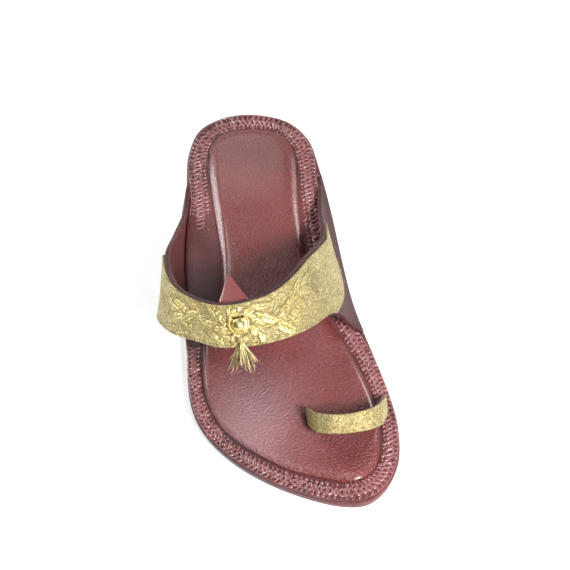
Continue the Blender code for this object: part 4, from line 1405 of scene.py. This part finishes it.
boss = spun("medallion_boss", (
    (0.0, 0.0024), (0.0006, 0.00238), (0.0013, 0.0022), (0.0020, 0.0019), (0.0026, 0.0015),
    (0.0030, 0.0010), (0.0032, 0.0005), (0.0031, 0.0), (0.0, 0.0),
), boss_base - rearward * BOSS_FORWARD, plate_axis, 80)
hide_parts("medallion_bead")
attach(boss, "root")

pits = [
    plate_base + plate_axis * (PLATE_WALL + 0.0009) + rearward * 0.0029 + beside_plate * side * 0.0022
    for side in PIT_PLACES
]
# Painted shade of the pits: dark pieces on the plate behind the boss.
grown("medallion_pit_shade", path_object([pits], up=[plate_axis] * len(pits)), RUN, {
    "Count": len(pits), "Size": (0.0010, 0.0007, 0.0007),
}, hole_shade_finish)
turn_plate = plate_axis.to_track_quat("Z", "Y").to_matrix()
rope_height = PLATE_WALL * 0.8 + ROPE * 0.55
circle = []
for step in range(ROPE_STEPS):
    angle = 2 * math.pi * step / ROPE_STEPS
    at = Vector((ROPE_CIRCLE * math.cos(angle), ROPE_CIRCLE * math.sin(angle), rope_height))
    circle.append(plate_base + turn_plate @ at)
grown("medallion_rope", path_object([circle], True, up=[plate_axis] * ROPE_STEPS), RUN, {
    "Count": 30, "Size": (0.00078, 0.00042, ROPE), "Turn": 0.75,
}, gilt)

# %% [markdown]
# ## Tassel
#
# Fine gold threads hang from a wrapped knot, lie over the strap's front edge and fray at their tips.
# Each lock of the CAD solid becomes a bunch of threads that start together and spread apart. The
# threads are lines of points from a fixed random draw, and one tree sweeps them all.

# %% Threads
LOCKS = 9
THREADS = 6
THREAD_RADIUS = 0.00023
TIP_FROM, TIP_BRIGHTER = 0.7, 0.35 / 0.3  # from this share of its length a thread gets paler
knot, knot_up = strap_place(STRAP_LINES, PLATE_PLACE[0], 0.84, ON_COVER + 0.0017)


def thread_lines():
    """Every thread as a line of points, and every thread's tone."""
    draw = random.Random(23)
    lines = []
    tones = []
    for number in range(LOCKS):
        fan = 2 * number / (LOCKS - 1) - 1
        long = 1 - 0.14 * (1 - math.cos(5 * number))
        edge, normal = strap_place(STRAP_LINES, PLATE_PLACE[0] + fan * 0.14, 1.0)
        rear, _ = strap_place(STRAP_LINES, PLATE_PLACE[0] + fan * 0.14, 0.0)
        ahead = Vector(((edge - rear).x, (edge - rear).y, 0)).normalized()
        over = edge + normal * (ON_COVER + 0.0009 * 1.4)
        lock_tone = draw.uniform(-0.15, 0.2)
        lean = draw.uniform(-0.6, 0.6)
        for _ in range(THREADS):
            spread = Vector((draw.uniform(-1, 1), draw.uniform(-1, 1), draw.uniform(-1, 1)))
            own = long * draw.uniform(0.66, 1.0)
            tones.append(held(0.14 + 0.25 * fan + lock_tone + draw.uniform(-0.5, 0.55)))
            route = [knot + spread * 0.0007, over + spread * 0.0004]
            for stage, fall in ((0.35, 0.28), (0.7, 0.6), (1.0, 1.0)):
                drift = ahead * 0.009 * stage * own + Vector(((fan * 0.0044 + lean * 0.0009) * stage, 0, 0))
                wander = spread * (0.0004 + 0.0021 * stage ** 1.5)
                wander += Vector((draw.uniform(-1, 1), 0, draw.uniform(0, 1))) * 0.0005 * stage
                route.append(over + drift - Vector((0, 0, 0.010 * fall * own)) + wander)
            padded = [route[0] * 2 - route[1], *route, route[-1] * 2 - route[-2]]
            fine = []
            for index in range(len(route) - 1):
                fine += [curve_point(*padded[index:index + 4], step / 6) for step in range(6)]
            lines.append([*fine, route[-1]])
    return lines, tones


def sweep_tree():
    """A thin round thread along each line, slimmer towards its tip."""
    tree, given, end = new_tree("threads", (
        ("Radius", "NodeSocketFloat", 0.0001), ("Material", "NodeSocketMaterial", None),
    ))
    curve = node(tree, "GeometryNodeMeshToCurve", {"Mesh": given["Geometry"]}).outputs["Curve"]
    factor = node(tree, "GeometryNodeSplineParameter").outputs["Factor"]
    slim = remap(tree, factor, 0.6, 1.0, 1.0, 0.45)
    ring = node(tree, "GeometryNodeCurvePrimitiveCircle", {"Resolution": 6, "Radius": given["Radius"]})
    swept = node(tree, "GeometryNodeCurveToMesh", {
        "Curve": curve, "Profile Curve": ring.outputs["Curve"], "Scale": slim, "Fill Caps": True,
    })
    closing(tree, swept.outputs["Mesh"], given, end)
    return tree


tassel_lines, tassel_tones = thread_lines()
tones = []
for line, tone in zip(tassel_lines, tassel_tones):
    tips = [max(index / len(line) - TIP_FROM, 0) for index in range(len(line))]
    tones += [min(tone + TIP_BRIGHTER * tip, 1) for tip in tips]
path = path_object(tassel_lines, tone=tones)
tassel = grown("tassel_threads", path, sweep_tree(), {"Radius": THREAD_RADIUS}, thread_finish)
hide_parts("tassel")

# %% Knot
KNOT_TURNS, KNOT_STEPS = 5, 24
KNOT_RADIUS, KNOT_HALF, KNOT_TONE = 0.00135, 0.0011, 0.45
rear, front = (strap_place(STRAP_LINES, PLATE_PLACE[0], share)[0] for share in (0.0, 1.0))
knot_axis = (front - rear).normalized()
beside = knot_axis.cross(knot_up).normalized()
wraps = []
for step in range(KNOT_TURNS * KNOT_STEPS):
    angle = 2 * math.pi * step / KNOT_STEPS
    share = step / (KNOT_TURNS * KNOT_STEPS - 1) * 2 - 1
    radius = KNOT_RADIUS * math.sqrt(1 - 0.55 * share * share)
    outwards = beside * radius * math.cos(angle) + knot_up * radius * math.sin(angle)
    wraps.append(knot + knot_axis * share * KNOT_HALF + outwards)
knot_path = path_object([wraps], up=[knot_up] * len(wraps), tone=[KNOT_TONE] * len(wraps))
grown("tassel_knot", knot_path, STRAND, {
    "Waves": 0, "Steps": 160, "Radius": 0.00030, "Flatness": 1.0, "Reach": 0.0,
}, thread_finish)

# %% [markdown]
# ## Tread and heel
#
# Under the sole is a fine tread of flat lozenges, so the outsole's sheet starts half a millimetre up and
# the lozenges fill that height. The heel keeps its CAD solids, with the same leather as the midsole and
# the same rubber as the outsole.

# %% Tread
def tread_tree():
    """A small four-sided stud on every point."""
    tree, given, end = new_tree("tread", (
        ("Size", "NodeSocketVector", (0.001, 0.001, 0.001)), ("Material", "NodeSocketMaterial", None),
    ))
    stud = node(tree, "GeometryNodeMeshCylinder", {"Vertices": 4, "Radius": 1.0, "Depth": 1.0})
    closing(tree, on_points(tree, given["Geometry"], stud, given["Size"]), given, end, soft=False)
    return tree


def inside(plan, x, y):
    """Whether a point lies inside a plan, by the sides that a line from it crosses."""
    crossings = 0
    for index, point in enumerate(plan):
        before = plan[index - 1]
        if (point.y > y) != (before.y > y):
            crossings += x < before.x + (point.x - before.x) * (y - before.y) / (point.y - before.y)
    return crossings % 2 == 1


PITCH = 0.0017  # between rows, and half of the pitch within a row
HEEL_FRONT = 0.055
tread_plan = inset(SOLE_PLAN, 0.005)[::4]
tread_points = []
for row in range(-70, 40):
    y = row * PITCH
    for column in range(-16, 17):
        x = column * 2 * PITCH + (row % 2) * PITCH
        if y < HEEL_FRONT and inside(tread_plan, x, y):
            tread_points.append(Vector((x, y, lift(y) + TREAD / 2 + 0.00002)) + SHIFT)
grown("tread", path_object([tread_points]), tread_tree(), {
    "Size": (0.00125, 0.0009, TREAD),
}, sole_finish)

for cad_name, finish in (("heel_block", board_leather), ("heel_top_lift", sole_finish)):
    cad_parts[cad_name].material_slots[0].material = finish
